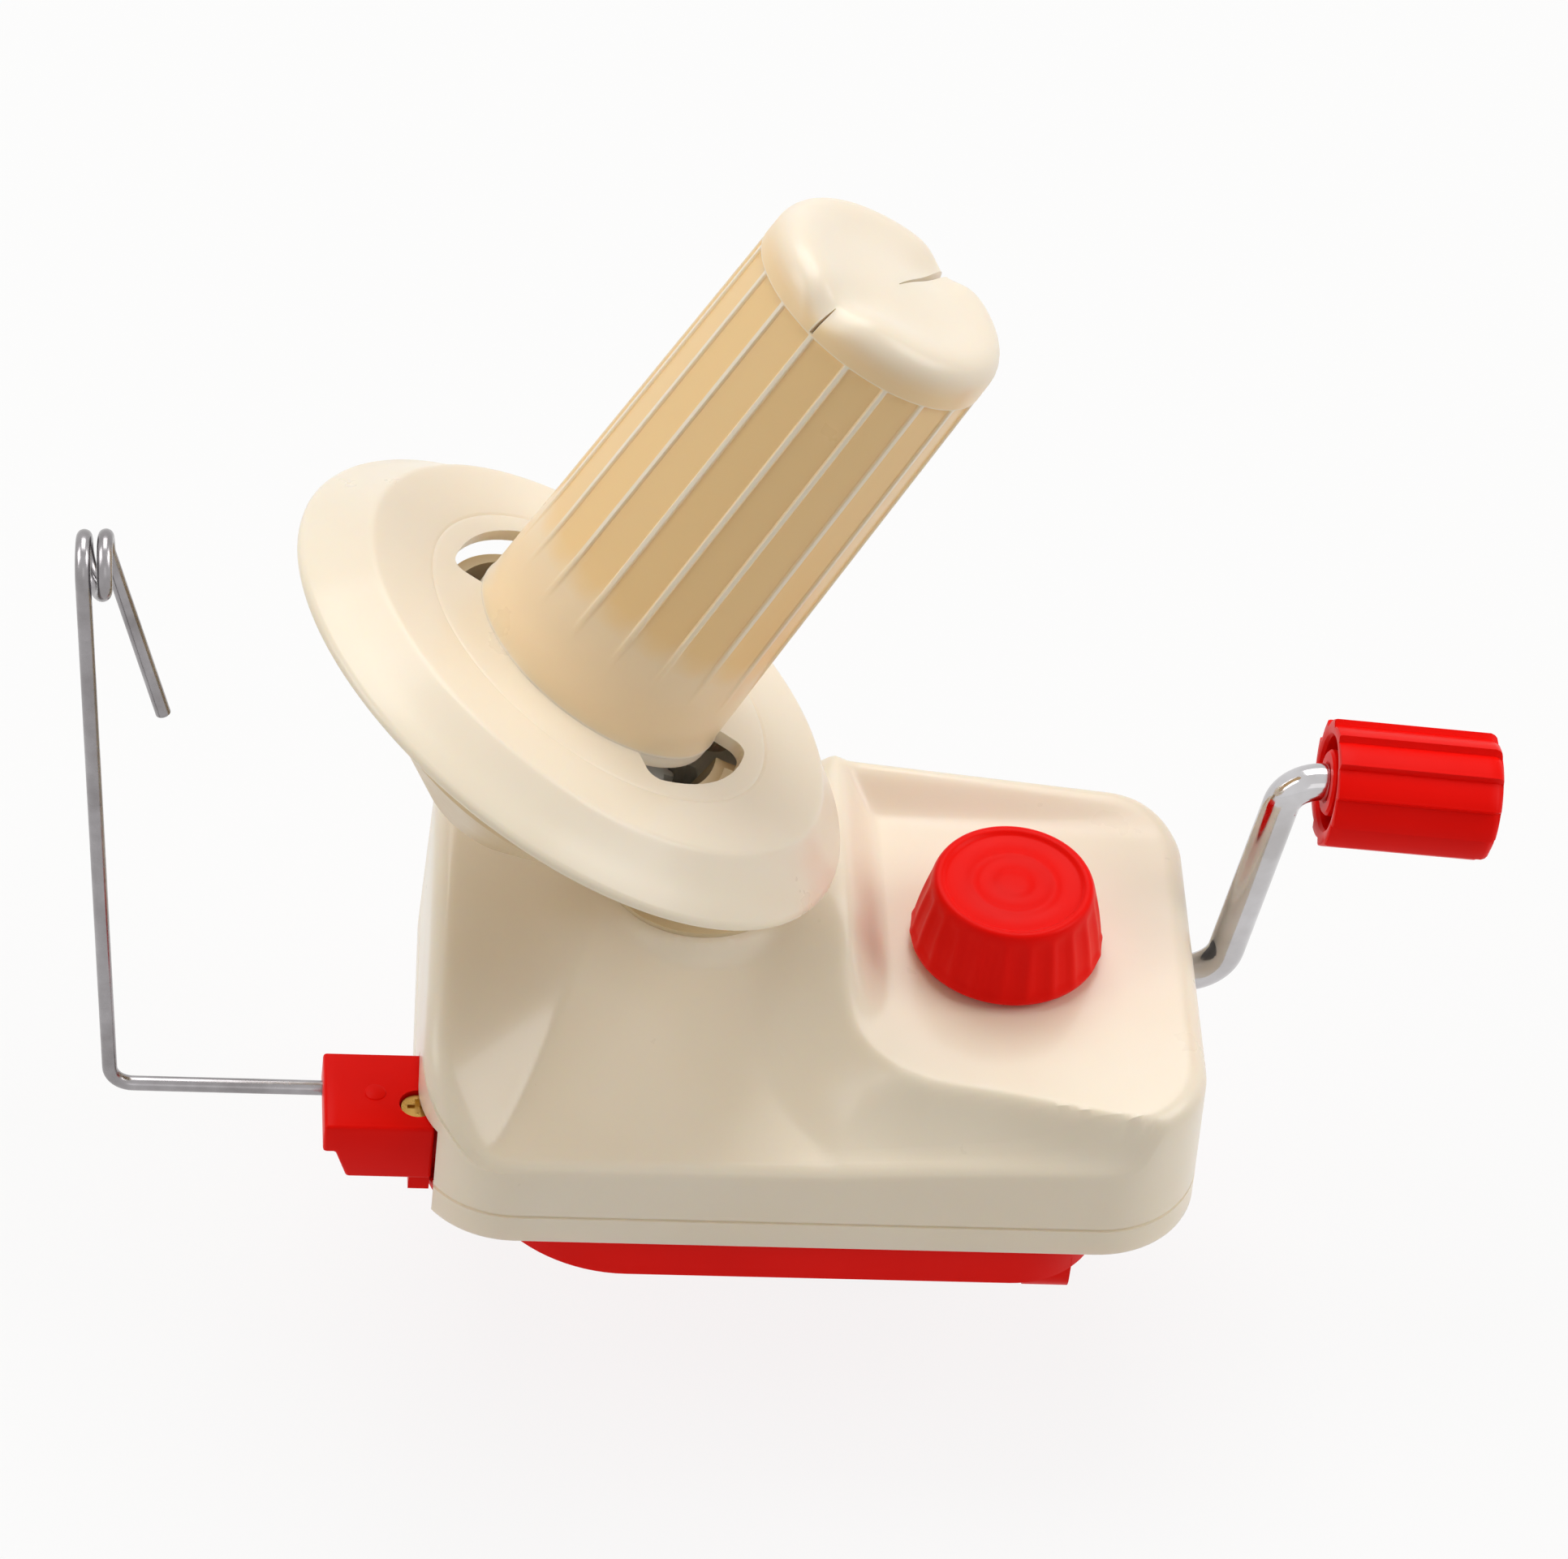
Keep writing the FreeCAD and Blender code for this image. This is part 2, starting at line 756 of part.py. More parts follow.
def crank_grip():
    points = []
    for i in range(grip_ribs):
        angle = 2.0 * math.pi * i / grip_ribs
        step = 2.0 * math.pi / grip_ribs
        for (share, radius) in ((0.0, grip_radius), (0.1, grip_radius - grip_rib)):
            turn = angle + share * step
            points.append((radius * math.cos(turn), radius * math.sin(turn), grip_start))
    body = prism(points, vec(0, 0, grip_length))
    end = grip_end()
    dome = rod(grip_radius + 1.0, vec(0, 0, grip_start), grip_length)
    far_edge = [e for e in dome.Edges if e.BoundBox.ZMin > end - 0.1]
    body = body.common(dome.makeFillet(1.5, far_edge))
    ring = tube(grip_radius - grip_rib - grip_shell, grip_core, vec(0, 0, grip_start - 1.0),
                grip_open_depth + 1.0)
    body = body.cut(ring)
    body = body.cut(rod(crank_radius + run_gap, vec(0, 0, grip_start - 1.0), grip_length + 2.0))
    pocket_start = grip_clip_start() - seat_gap
    return grip_frame(body.cut(rod(clip_radius, vec(0, 0, pocket_start), grip_length)))


def grip_cap():
    place = vec(0, 0, grip_end() - cap_thickness)
    return grip_frame(rod(clip_radius, place, cap_thickness))


# Turret: pinion, neck, drum and tilted cup

def heading():
    angle = math.radians(tilt_heading)
    return vec(math.cos(angle), math.sin(angle), 0)


def disc_centre():
    return heading() * (-disc_offset) + vec(0, 0, disc_z)


def tilted(shape):
    shape.rotate(vec(0, 0, 0), Y, tilt)
    shape.rotate(vec(0, 0, 0), Z, tilt_heading)
    shape.translate(disc_centre())
    return shape


def apex_height():
    return disc_offset / math.sin(math.radians(tilt))


def apex_z():
    return disc_z + disc_offset / math.tan(math.radians(tilt))


def sun_cone():
    angle = math.radians(tilt)
    return math.atan(math.sin(angle) / (float(planet_teeth) / sun_teeth + math.cos(angle)))


def planet_cone():
    return math.radians(tilt) - sun_cone()


def sun_axial(distance):
    return distance * math.cos(sun_cone())


def planet_axial(distance):
    return distance * math.cos(planet_cone())


def pinion_z():
    return crank_z + crown_radius() - mesh_width / 2.0 - 0.3


def pinion_height():
    return mesh_width + 0.6


def neck_bottom():
    return collar_z - 3.0


def turret_cup():
    drum_bottom = collar_z + 1.0 + seat_gap
    chamber_bottom = apex_z() - sun_axial(bevel_outer) - gear_back - 2.2
    drum = rod(drum_radius, vec(0, 0, drum_bottom), 70.0)
    neck = rod(neck_radius, vec(0, 0, neck_bottom()), drum_bottom - neck_bottom() + 1.0)
    spigot_bottom = pinion_z() - 3.0
    spigot = rod(spigot_radius, vec(0, 0, spigot_bottom), neck_bottom() - spigot_bottom + 1.0)
    cup_bottom = -cup_floor_drop - cup_floor
    cup = tilted(rod(cup_radius, vec(0, 0, cup_bottom), 60.0))
    funnel = Part.makeCone(12.0, cup_radius, 14.0, vec(0, 0, cup_bottom - 13.9), Z)
    funnel = tilted(funnel)
    body = drum.fuse([neck, spigot, cup, funnel])
    above = tilted(rod(through, vec(0, 0, -cup_rim_drop), through))
    below = rod(through, vec(0, 0, drum_bottom - through), through)
    low_part = neck.fuse(spigot)
    body = body.cut(above).cut(below).fuse(low_part)
    body = body.cut(tilted(rod(cup_radius - cup_wall, vec(0, 0, -cup_floor_drop), 60.0)))
    body = body.cut(rod(drum_radius - drum_wall, vec(0, 0, chamber_bottom), 60.0))
    boss = tilted(rod(6.5, vec(0, 0, -cup_floor_drop - 1.0), 1.0 + planet_boss()))
    body = body.fuse(boss)
    body = body.cut(rod(post_radius + run_gap, vec(0, 0, spigot_bottom - 1.0), through))
    body = body.cut(tilted(rod(axle_radius, vec(0, 0, cup_bottom - 12.0), 40.0)))
    ring_z = pinion_z() - 1.0 - join_gap
    return body.cut(tube(spigot_radius + 2.0, spigot_radius - 0.7, vec(0, 0, ring_z), 1.0))


def planet_boss():
    return cup_floor_drop - (apex_to_planet_back() - apex_height()) - seat_gap


def apex_to_planet_back():
    return planet_axial(bevel_outer) + gear_back


def turret_ring():
    ring_z = pinion_z() - 1.0 - join_gap
    return tube(spigot_radius + 2.2, spigot_radius - 0.7, vec(0, 0, ring_z), 1.0)


def gear_points(count, root, tip, tooth, pitch, z, phase):
    points = []
    step = 2.0 * math.pi / count
    half = tooth / pitch / 2.0
    slope = (tip - root) * 0.22 / pitch
    for i in range(count):
        centre = (i + phase) * step
        for (radius, turn) in (
            (root, -half - slope),
            (tip, -half + slope),
            (tip, half - slope),
            (root, half + slope),
        ):
            angle = centre + turn
            points.append((radius * math.cos(angle), radius * math.sin(angle), z))
    return points


def turret_pinion():
    radius = pinion_radius()
    points = gear_points(pinion_teeth, radius - mesh_dedendum, radius + mesh_addendum,
                         mesh_tooth, radius, pinion_z(), 0.0)
    body = prism(points, vec(0, 0, pinion_height()))
    hub_top = neck_bottom()
    hub_z = pinion_z() + pinion_height()
    hub = rod(radius - mesh_dedendum - 0.4, vec(0, 0, hub_z - 0.5), hub_top - hub_z + 0.5)
    return body.fuse(hub).cut(rod(spigot_radius, vec(0, 0, pinion_z() - 1.0), 20.0))


def turret_bush():
    inner = neck_radius + run_gap
    outer = inner + neck_bush_wall
    sleeve_z = collar_z - 2.6
    sleeve = tube(outer, inner, vec(0, 0, sleeve_z), collar_z + 1.0 - sleeve_z)
    return sleeve.fuse(tube(outer + 2.5, inner, vec(0, 0, collar_z), 1.0))


# Post with its fixed gear, and the gear that rolls round it

def bevel_gear(count, cone, phase):
    large = bevel_outer
    small = bevel_outer - bevel_width
    add = bevel_addendum / bevel_outer
    ded = bevel_dedendum / bevel_outer
    loops = []
    for distance in (large, small):
        axial = distance * math.cos(cone)
        points = gear_points(
            count,
            axial * math.tan(cone - ded),
            axial * math.tan(cone + add),
            bevel_tooth * distance / large,
            axial * math.tan(cone),
            -axial,
            phase,
        )
        loops.append(Part.makePolygon([vec(*p) for p in points + [points[0]]]))
    teeth = Part.makeLoft(loops, True, True)
    axial = large * math.cos(cone)
    back_radius = axial * math.tan(cone - ded)
    back = rod(back_radius, vec(0, 0, -axial - gear_back), gear_back)
    return teeth.fuse(back)


def sun_post():
    top = apex_z() - sun_axial(bevel_outer - bevel_width)
    return rod(post_radius, vec(0, 0, base_floor), top - base_floor)


def sun_gear():
    body = bevel_gear(sun_teeth, sun_cone(), 0.0)
    body.rotate(vec(0, 0, 0), Z, tilt_heading + 180.0)
    body.translate(vec(0, 0, apex_z()))
    return body.cut(rod(post_radius, vec(0, 0, 50.0), 60.0))


def spindle_gear():
    body = bevel_gear(planet_teeth, planet_cone(), 0.5)
    body.translate(vec(0, 0, apex_height()))
    lift = apex_height() - planet_axial(bevel_outer)
    body = body.cut(rod(hub_radius, vec(0, 0, lift - 10.0), 30.0))
    return tilted(body)


# Spindle, disc and what carries them

def hub_bottom():
    return apex_height() - apex_to_planet_back()


def revolved(points):
    loop = Part.makePolygon([vec(r, 0, z) for (r, z) in points + [points[0]]])
    return Part.Face(loop).revolve(vec(0, 0, 0), Z, 360.0)


def spindle_radius(height):
    return spindle_base - (spindle_base - spindle_top) * height / spindle_height


def spindle_outside():
    shape = revolved([
        (0.0, 0.0),
        (spindle_base, 0.0),
        (spindle_top, spindle_height),
        (0.0, spindle_height),
    ])
    rim = [e for e in shape.Edges if e.BoundBox.ZMin > spindle_height - 0.1]
    return shape.makeFillet(spindle_round, rim)


def flute_cutters():
    land = math.degrees(flute_land / spindle_base)
    step = 360.0 / flute_count
    floor_low = spindle_radius(flute_start) - flute_depth
    floor_high = spindle_radius(flute_end) - flute_depth
    loop = Part.makePolygon([
        vec(floor_low, 0, flute_start),
        vec(floor_low + 4.0, 0, flute_start),
        vec(floor_high + 4.0, 0, flute_end),
        vec(floor_high, 0, flute_end),
        vec(floor_low, 0, flute_start),
    ])
    cutter = Part.Face(loop).revolve(vec(0, 0, 0), Z, step - land)
    cutters = []
    for i in range(flute_count):
        copy = cutter.copy()
        copy.rotate(vec(0, 0, 0), Z, flute_turn + i * step + land / 2.0)
        cutters.append(copy)
    return cutters


def winding_spindle():
    body = spindle_outside()
    ceiling = spindle_height - spindle_wall - spindle_dish
    cavity = revolved([
        (0.0, spindle_wall),
        (spindle_radius(0.0) - spindle_wall - 0.6, spindle_wall),
        (spindle_top - spindle_wall - 0.6, ceiling - 3.0),
        (spindle_top - spindle_wall - 3.6, ceiling),
        (0.0, ceiling),
    ])
    body = body.cut(cavity)
    for cutter in flute_cutters():
        body = body.cut(cutter)
    dish = Part.makeCone(spindle_top - spindle_round - 6.0, spindle_top - spindle_round - 1.0,
                         spindle_dish, vec(0, 0, spindle_height - spindle_dish), Z)
    body = body.cut(dish)
    body = body.cut(slit_cutter())
    parts = [rod(disc_bore, vec(0, 0, -disc_thickness), disc_thickness + 0.5)]
    parts.append(rod(hub_radius, vec(0, 0, hub_bottom()), hub_height - hub_bottom()))
    for (x, y) in disc_screw_places():
        parts.append(rod(2.6, vec(x, y, 0.0), 9.0).common(spindle_outside()))
    body = body.fuse(parts)
    body = body.cut(rod(hub_bush_radius, vec(0, 0, hub_bottom() - 1.0), 60.0 + hub_height))
    for (x, y) in disc_screw_places():
        body = body.cut(rod(1.1, vec(x, y, -5.0), 12.0))
    return tilted(body)


def slit_cutter():
    half = slit_width / 2.0
    top = spindle_height + 0.5
    low = spindle_height - slit_depth
    bend = slit_round
    start = vec(half + bend, 0, top)
    shoulder = vec(half + bend, 0, spindle_height)
    mid = vec(half + bend * (1.0 - math.sin(math.pi / 4)), 0,
              spindle_height - bend * (1.0 - math.sin(math.pi / 4)))
    foot = vec(half, 0, spindle_height - bend)
    edges = [
        Part.LineSegment(start, shoulder),
        Part.Arc(shoulder, mid, foot),
        Part.LineSegment(foot, vec(half, 0, low)),
        Part.LineSegment(vec(half, 0, low), vec(-half, 0, low)),
        Part.LineSegment(vec(-half, 0, low), vec(-foot.x, 0, foot.z)),
        Part.Arc(vec(-foot.x, 0, foot.z), vec(-mid.x, 0, mid.z), vec(-shoulder.x, 0, shoulder.z)),
        Part.LineSegment(vec(-shoulder.x, 0, shoulder.z), vec(-start.x, 0, top)),
        Part.LineSegment(vec(-start.x, 0, top), start),
    ]
    face = Part.Face(Part.Wire([e.toShape() for e in edges]))
    cutter = face.extrude(vec(0, 4.0 * spindle_base, 0))
    cutter.translate(vec(0, -2.0 * spindle_base, 0))
    cutter.rotate(vec(0, 0, 0), Z, slit_heading + 90.0)
    return cutter


def disc_screw_places():
    places = []
    for i in range(3):
        angle = math.radians(slot_heading + 90.0 + 120.0 * i)
        radius = spindle_base - 2.2
        places.append((radius * math.cos(angle), radius * math.sin(angle)))
    return places


def winding_disc():
    bore = disc_bore + join_gap
    t = disc_thickness
    body = revolved([
        (bore, 0.0),
        (disc_crease - 1.6, 0.0),
        (disc_crease - 0.5, -0.15),
        (disc_crease + 0.4, -0.6),
        (disc_rim - 0.5, -disc_rim_drop + 0.7),
        (disc_rim, -disc_rim_drop),
        (disc_rim - 0.1, -disc_rim_drop - 0.8),
        (disc_rim - 0.8, -disc_rim_drop - 1.2),
        (disc_rim - 1.7, -disc_rim_drop - 0.8),
        (disc_crease - 0.6, -t - 0.6),
        (disc_crease - 2.0, -t),
        (bore, -t),
    ])
    body = body.cut(tube(disc_groove_radius + 0.25, disc_groove_radius - 0.25, vec(0, 0, -0.3), 1.0))
    inner = spindle_base + 0.2
    sector = Part.Face(Part.makePolygon([
        vec(inner, 0, -t - 1.0),
        vec(slot_outer, 0, -t - 1.0),
        vec(slot_outer, 0, 1.0),
        vec(inner, 0, 1.0),
        vec(inner, 0, -t - 1.0),
    ])).revolve(vec(0, 0, 0), Z, 2.0 * slot_half_angle)
    for turn in (0.0, 180.0):
        cutter = sector.copy()
        cutter.rotate(vec(0, 0, 0), Z, slot_heading - slot_half_angle + turn)
        body = body.cut(cutter)
    for (x, y) in disc_screw_places():
        body = body.cut(rod(1.3, vec(x, y, -5.0), 12.0))
    return tilted(body)


def disc_screws():
    screws = []
    for (x, y) in disc_screw_places():
        head = rod(2.0, vec(x, y, -disc_thickness - 1.5), 1.5)
        screws.append(head.fuse(rod(1.1, vec(x, y, -disc_thickness), 8.5)))
    return tilted(Part.makeCompound(screws))


def hub_bushes():
    low = tube(hub_bush_radius, axle_radius + run_gap, vec(0, 0, hub_bottom()), hub_bush_length)
    high = tube(hub_bush_radius, axle_radius + run_gap,
                vec(0, 0, hub_height - hub_bush_length), hub_bush_length)
    return tilted(Part.makeCompound([low, high]))


def spindle_axle():
    bottom = -cup_floor_drop - cup_floor - 8.0
    body = rod(axle_radius, vec(0, 0, bottom), hub_height + 3.5 - bottom)
    groove = tube(axle_radius + 1.0, axle_radius - 0.6, vec(0, 0, hub_height + seat_gap), clip_width)
    return tilted(body.cut(groove))


def axle_clip():
    return tilted(tube(axle_radius + 2.4, axle_radius - 0.6, vec(0, 0, hub_height + seat_gap),
                       clip_width))


# Clamp: knob, its screw and the jaw

def knob_base_z():
    return plateau_z - washer_sink + washer_thickness + seat_gap


def clamp_knob():
    low = knob_base_z()
    high = low + knob_height
    body = Part.makeCone(knob_bottom_radius, knob_top_radius, knob_height, vec(0, 0, low), Z)
    top_edge = [e for e in body.Edges if e.BoundBox.ZMin > high - 0.1]
    low_edge = [e for e in body.Edges if e.BoundBox.ZMax < low + 0.1 and e.Closed]
    body = body.makeFillet(knob_rim * 0.45, top_edge + low_edge[:1])
    inner = knob_top_radius - knob_rim
    body = body.cut(rod(inner, vec(0, 0, high - knob_dish), 5.0))
    body = body.fuse(tube(7.2, 6.2, vec(0, 0, high - knob_dish - 0.5), 0.9))
    body = body.fuse(rod(2.6, vec(0, 0, high - knob_dish - 0.5), 0.8))
    for i in range(knob_scallops):
        angle = 2.0 * math.pi * i / knob_scallops
        lean = (knob_bottom_radius - knob_top_radius) / knob_height
        axis = vec(-lean * math.cos(angle), -lean * math.sin(angle), 1.0)
        reach = knob_bottom_radius + 2.0 - 0.35
        groove = Part.makeCylinder(2.0, knob_height - 3.0,
                                   vec(reach * math.cos(angle), reach * math.sin(angle), low - 1.0),
                                   axis)
        body = body.cut(groove)
    body.translate(vec(knob_x, knob_y, 0))
    return body.cut(knob_socket())


def knob_socket():
    low = knob_base_z()
    flat = 6.5
    points = []
    for i in range(6):
        angle = math.pi * i / 3.0
        points.append((knob_x + flat * math.cos(angle), knob_y + flat * math.sin(angle), low))
    return prism(points, vec(0, 0, knob_height - 5.0))


def clamp_screw():
    low = knob_base_z()
    shank = rod(screw_radius, vec(knob_x, knob_y, screw_end_z), low - screw_end_z + 1.0)
    tip = [e for e in shank.Edges if e.BoundBox.ZMax < screw_end_z + 0.1]
    return shank.makeFillet(1.0, tip).fuse(knob_socket())


def knob_washer():
    place = vec(knob_x, knob_y, plateau_z - washer_sink)
    return tube(washer_radius, screw_radius + seat_gap, place, washer_thickness)


def clamp_jaw():
    half = jaw_width / 2.0
    right = tongue_x + tongue_thickness / 2.0
    left = knob_x - jaw_reach
    top = jaw_top_z
    arm = block(left, right, knob_y - half, knob_y + half, top - jaw_thickness, top)
    corners = [e for e in arm.Edges if e.BoundBox.ZLength > 1.0]
    arm = arm.makeFillet(1.4, corners)
    half_tongue = tongue_thickness / 2.0
    tongue = block(tongue_x - half_tongue, tongue_x + half_tongue, knob_y - half + 2.0,
                   knob_y + half - 2.0, top - 1.0, tongue_top_z)
    arm = arm.fuse(tongue)
    nut = rod(7.5, vec(knob_x, knob_y, top - jaw_thickness - 1.0), 1.5)
    arm = arm.fuse(nut)
    relief = block(left + 4.0, knob_x - 12.0, knob_y - half + 2.5, knob_y + half - 2.5,
                   top - jaw_thickness - 1.0, top - 3.0)
    arm = arm.cut(relief)
    return arm.cut(rod(screw_radius + run_gap, vec(knob_x, knob_y, top - through / 2.0), through))


def jaw_pad_piece():
    left = knob_x - jaw_reach + 2.0
    half = jaw_width / 2.0 - 1.5
    return block(left, left + 17.0, knob_y - half, knob_y + half, jaw_top_z, jaw_top_z + jaw_pad)


save(upper_shell(), "upper_shell")
save(base_cover(), "base_cover")
save(base_screws(), "base_screws")
save(guide_bracket(), "guide_bracket")
save(bracket_screw(), "bracket_screw")
save(guide_wire(), "guide_wire")
save(crank_rod(), "crank_rod")
save(crown_gear(), "crown_gear")
save(gear_pin(), "gear_pin")
save(crank_clips(), "crank_clips")
save(crank_bush(), "crank_bush")
save(inner_bush(), "inner_bush")
save(crank_grip(), "crank_grip")
save(grip_cap(), "grip_cap")
save(grip_clip(), "grip_clip")
save(turret_cup(), "turret_cup")
save(turret_pinion(), "turret_pinion")
save(turret_ring(), "turret_ring")
save(turret_bush(), "turret_bush")
save(sun_post(), "sun_post")
save(sun_gear(), "sun_gear")
save(spindle_gear(), "spindle_gear")
save(winding_spindle(), "winding_spindle")
save(winding_disc(), "winding_disc")
save(disc_screws(), "disc_screws")
save(hub_bushes(), "hub_bushes")
save(spindle_axle(), "spindle_axle")
save(axle_clip(), "axle_clip")
save(clamp_knob(), "clamp_knob")
save(clamp_screw(), "clamp_screw")
save(knob_washer(), "knob_washer")
save(clamp_jaw(), "clamp_jaw")
save(jaw_pad_piece(), "jaw_pad")
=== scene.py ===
import bmesh
import bpy
import math
from mathutils import Euler, Matrix, Vector


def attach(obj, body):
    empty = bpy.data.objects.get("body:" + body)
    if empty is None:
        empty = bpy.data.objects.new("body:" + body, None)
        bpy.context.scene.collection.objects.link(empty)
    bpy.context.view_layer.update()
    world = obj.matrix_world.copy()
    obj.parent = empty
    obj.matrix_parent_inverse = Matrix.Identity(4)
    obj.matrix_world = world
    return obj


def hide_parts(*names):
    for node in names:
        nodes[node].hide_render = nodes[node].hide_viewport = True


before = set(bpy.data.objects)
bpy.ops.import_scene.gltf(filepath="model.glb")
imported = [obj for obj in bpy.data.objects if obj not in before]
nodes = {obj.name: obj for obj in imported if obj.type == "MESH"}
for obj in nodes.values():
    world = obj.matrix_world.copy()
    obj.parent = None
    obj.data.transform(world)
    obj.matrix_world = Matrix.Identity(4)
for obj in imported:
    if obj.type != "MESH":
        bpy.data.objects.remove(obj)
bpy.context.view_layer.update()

mm = 0.001
print("frame loaded,", len(nodes), "nodes")


# small helpers

def deselectAll():
    if bpy.context.object and bpy.context.object.mode != "OBJECT":
        bpy.ops.object.mode_set(mode="OBJECT")
    bpy.ops.object.select_all(action="DESELECT")


def colour(red, green, blue):
    # from the 0 to 255 of a colour picker to scene linear
    def straight(value):
        value /= 255.0
        return value / 12.92 if value <= 0.04045 else ((value + 0.055) / 1.055) ** 2.4
    return (straight(red), straight(green), straight(blue), 1.0)


def feed(tree, socket, value):
    # a link where the value comes from another node, else the value itself
    if isinstance(value, bpy.types.NodeSocket):
        tree.links.new(value, socket)
    else:
        socket.default_value = value


# camera at the viewing angle of the product shot

cameraSettings = {
    "place": (-0.15062, -1.19276, 1.21298),
    "turn": (46.299, -5.153, -2.944),
    "lens": 204.97,
    "sensor": 36.0,
    "clip": (0.05, 20.0),
}

cameraData = bpy.data.cameras.new("viewCamera")
cameraData.lens = cameraSettings["lens"]
cameraData.sensor_width = cameraSettings["sensor"]
cameraData.clip_start, cameraData.clip_end = cameraSettings["clip"]
camera = bpy.data.objects.new("viewCamera", cameraData)
camera.location = cameraSettings["place"]
camera.rotation_euler = [math.radians(value) for value in cameraSettings["turn"]]
bpy.context.scene.collection.objects.link(camera)
bpy.context.scene.camera = camera
bpy.context.scene.view_settings.view_transform = "Standard"
print("camera set")


# studio: pale floor, even world light, soft lamps

studioSettings = {
    "worldLight": 0.225,
    "worldColour": (1.0, 0.965, 0.915, 1.0),
    "floorColour": colour(228, 227, 225),
    "floorRoughness": 0.9,
    "floorWhite": 0.86,
    "floorSize": 6.0,
    "floorDrop": -43.0 * mm,
    "lampAim": (0.0, 0.0, 0.05),
    "lamps": [
        # name, place, size, watts
        ("leftLamp", (-1.5, -0.1, 1.1), 1.1, 11.5),
        ("rightLamp", (1.6, -0.2, 1.2), 1.1, 13.5),
        ("topLamp", (0.0, 0.9, 1.9), 1.5, 24.5),
        ("frontLamp", (0.2, -2.0, 0.9), 1.0, 1.2),
    ],
}


def nodeMath(tree, operation, first, second):
    node = tree.nodes.new("ShaderNodeMath")
    node.operation = operation
    feed(tree, node.inputs[0], first)
    feed(tree, node.inputs[1], second)
    return node.outputs[0]


def plainLight(tree, kind, tint=(1.0, 1.0, 1.0, 1.0), strength=1.0):
    # light of one colour, plain white if nothing else is said
    light = tree.nodes.new(kind)
    light.inputs["Color"].default_value = tint
    light.inputs["Strength"].default_value = strength
    return light.outputs[0]


def whiteForView(tree, lit, white, share=1.0):
    # the picture, mirrors and glass see plain white, all else the lit surface
    path = tree.nodes.new("ShaderNodeLightPath")
    seen = nodeMath(tree, "MAXIMUM", path.outputs["Is Camera Ray"], path.outputs["Is Glossy Ray"])
    seen = nodeMath(tree, "MAXIMUM", seen, path.outputs["Is Transmission Ray"])
    mix = tree.nodes.new("ShaderNodeMixShader")
    feed(tree, mix.inputs[0], nodeMath(tree, "MULTIPLY", seen, share))
    feed(tree, mix.inputs[1], lit)
    feed(tree, mix.inputs[2], white)
    return mix.outputs[0]


def makeWorld():
    world = bpy.data.worlds.new("studioWorld")
    world.use_nodes = True
    tree = world.node_tree
    tree.nodes.clear()
    kind = "ShaderNodeBackground"
    soft = plainLight(tree, kind, studioSettings["worldColour"], studioSettings["worldLight"])
    mixed = whiteForView(tree, soft, plainLight(tree, kind))
    tree.links.new(mixed, tree.nodes.new("ShaderNodeOutputWorld").inputs["Surface"])
    bpy.context.scene.world = world


def makeFloor():
    deselectAll()
    place = (0.0, 0.0, studioSettings["floorDrop"])
    bpy.ops.mesh.primitive_plane_add(size=studioSettings["floorSize"], location=place)
    floor = bpy.context.object
    floor.name = "floor"
    material = bpy.data.materials.new("paleFloor")
    material.use_nodes = True
    tree = material.node_tree
    shader = tree.nodes["Principled BSDF"]
    shader.inputs["Base Color"].default_value = studioSettings["floorColour"]
    shader.inputs["Roughness"].default_value = studioSettings["floorRoughness"]
    white = plainLight(tree, "ShaderNodeEmission")
    mixed = whiteForView(tree, shader.outputs[0], white, studioSettings["floorWhite"])
    tree.links.new(mixed, tree.nodes["Material Output"].inputs["Surface"])
    floor.data.materials.append(material)


def makeLamps():
    aim = Vector(studioSettings["lampAim"])
    for name, place, size, watts in studioSettings["lamps"]:
        lampData = bpy.data.lights.new(name, "AREA")
        lampData.shape = "SQUARE"
        lampData.size = size
        lampData.energy = watts
        lamp = bpy.data.objects.new(name, lampData)
        lamp.location = place
        lamp.rotation_euler = (aim - Vector(place)).to_track_quat("-Z", "Y").to_euler()
        bpy.context.scene.collection.objects.link(lamp)


makeWorld()
makeFloor()
makeLamps()
print("studio lit")


# finishes

patternSettings = {
    # detail and roughness of each noise
    "clouds": (3.0, 0.5), "handling": (4.0, 0.6), "flow": (1.0, 0.5), "grain": (2.0, 0.5),
    "patches": (4.0, 0.5), "fine": (5.0, 0.6), "lines": (2.0, 0.5),
}
bumpStrength = {"flow": 1.0, "grain": 0.5, "lines": 0.4}
plasticIndex = 1.49
coatRoughness = 0.12
usualShine = 0.4
plainStretch = (1.0, 1.0, 1.0)


def nodePattern(tree, kind, scale, stretch=plainStretch):
    # a noise on object coordinates, whose scale is given per metre
    place = tree.nodes.new("ShaderNodeTexCoord")
    mapping = tree.nodes.new("ShaderNodeMapping")
    mapping.inputs["Scale"].default_value = stretch
    pattern = tree.nodes.new("ShaderNodeTexNoise")
    detail, roughness = patternSettings[kind]
    pattern.inputs["Scale"].default_value = scale
    pattern.inputs["Detail"].default_value = detail
    pattern.inputs["Roughness"].default_value = roughness
    tree.links.new(place.outputs["Object"], mapping.inputs["Vector"])
    tree.links.new(mapping.outputs["Vector"], pattern.inputs["Vector"])
    return pattern.outputs["Fac"]


def nodeRange(tree, source, low, high, fromLow=0.3, fromHigh=0.7):
    spread = tree.nodes.new("ShaderNodeMapRange")
    spread.inputs["From Min"].default_value = fromLow
    spread.inputs["From Max"].default_value = fromHigh
    spread.inputs["To Min"].default_value = low
    spread.inputs["To Max"].default_value = high
    tree.links.new(source, spread.inputs["Value"])
    return spread.outputs["Result"]


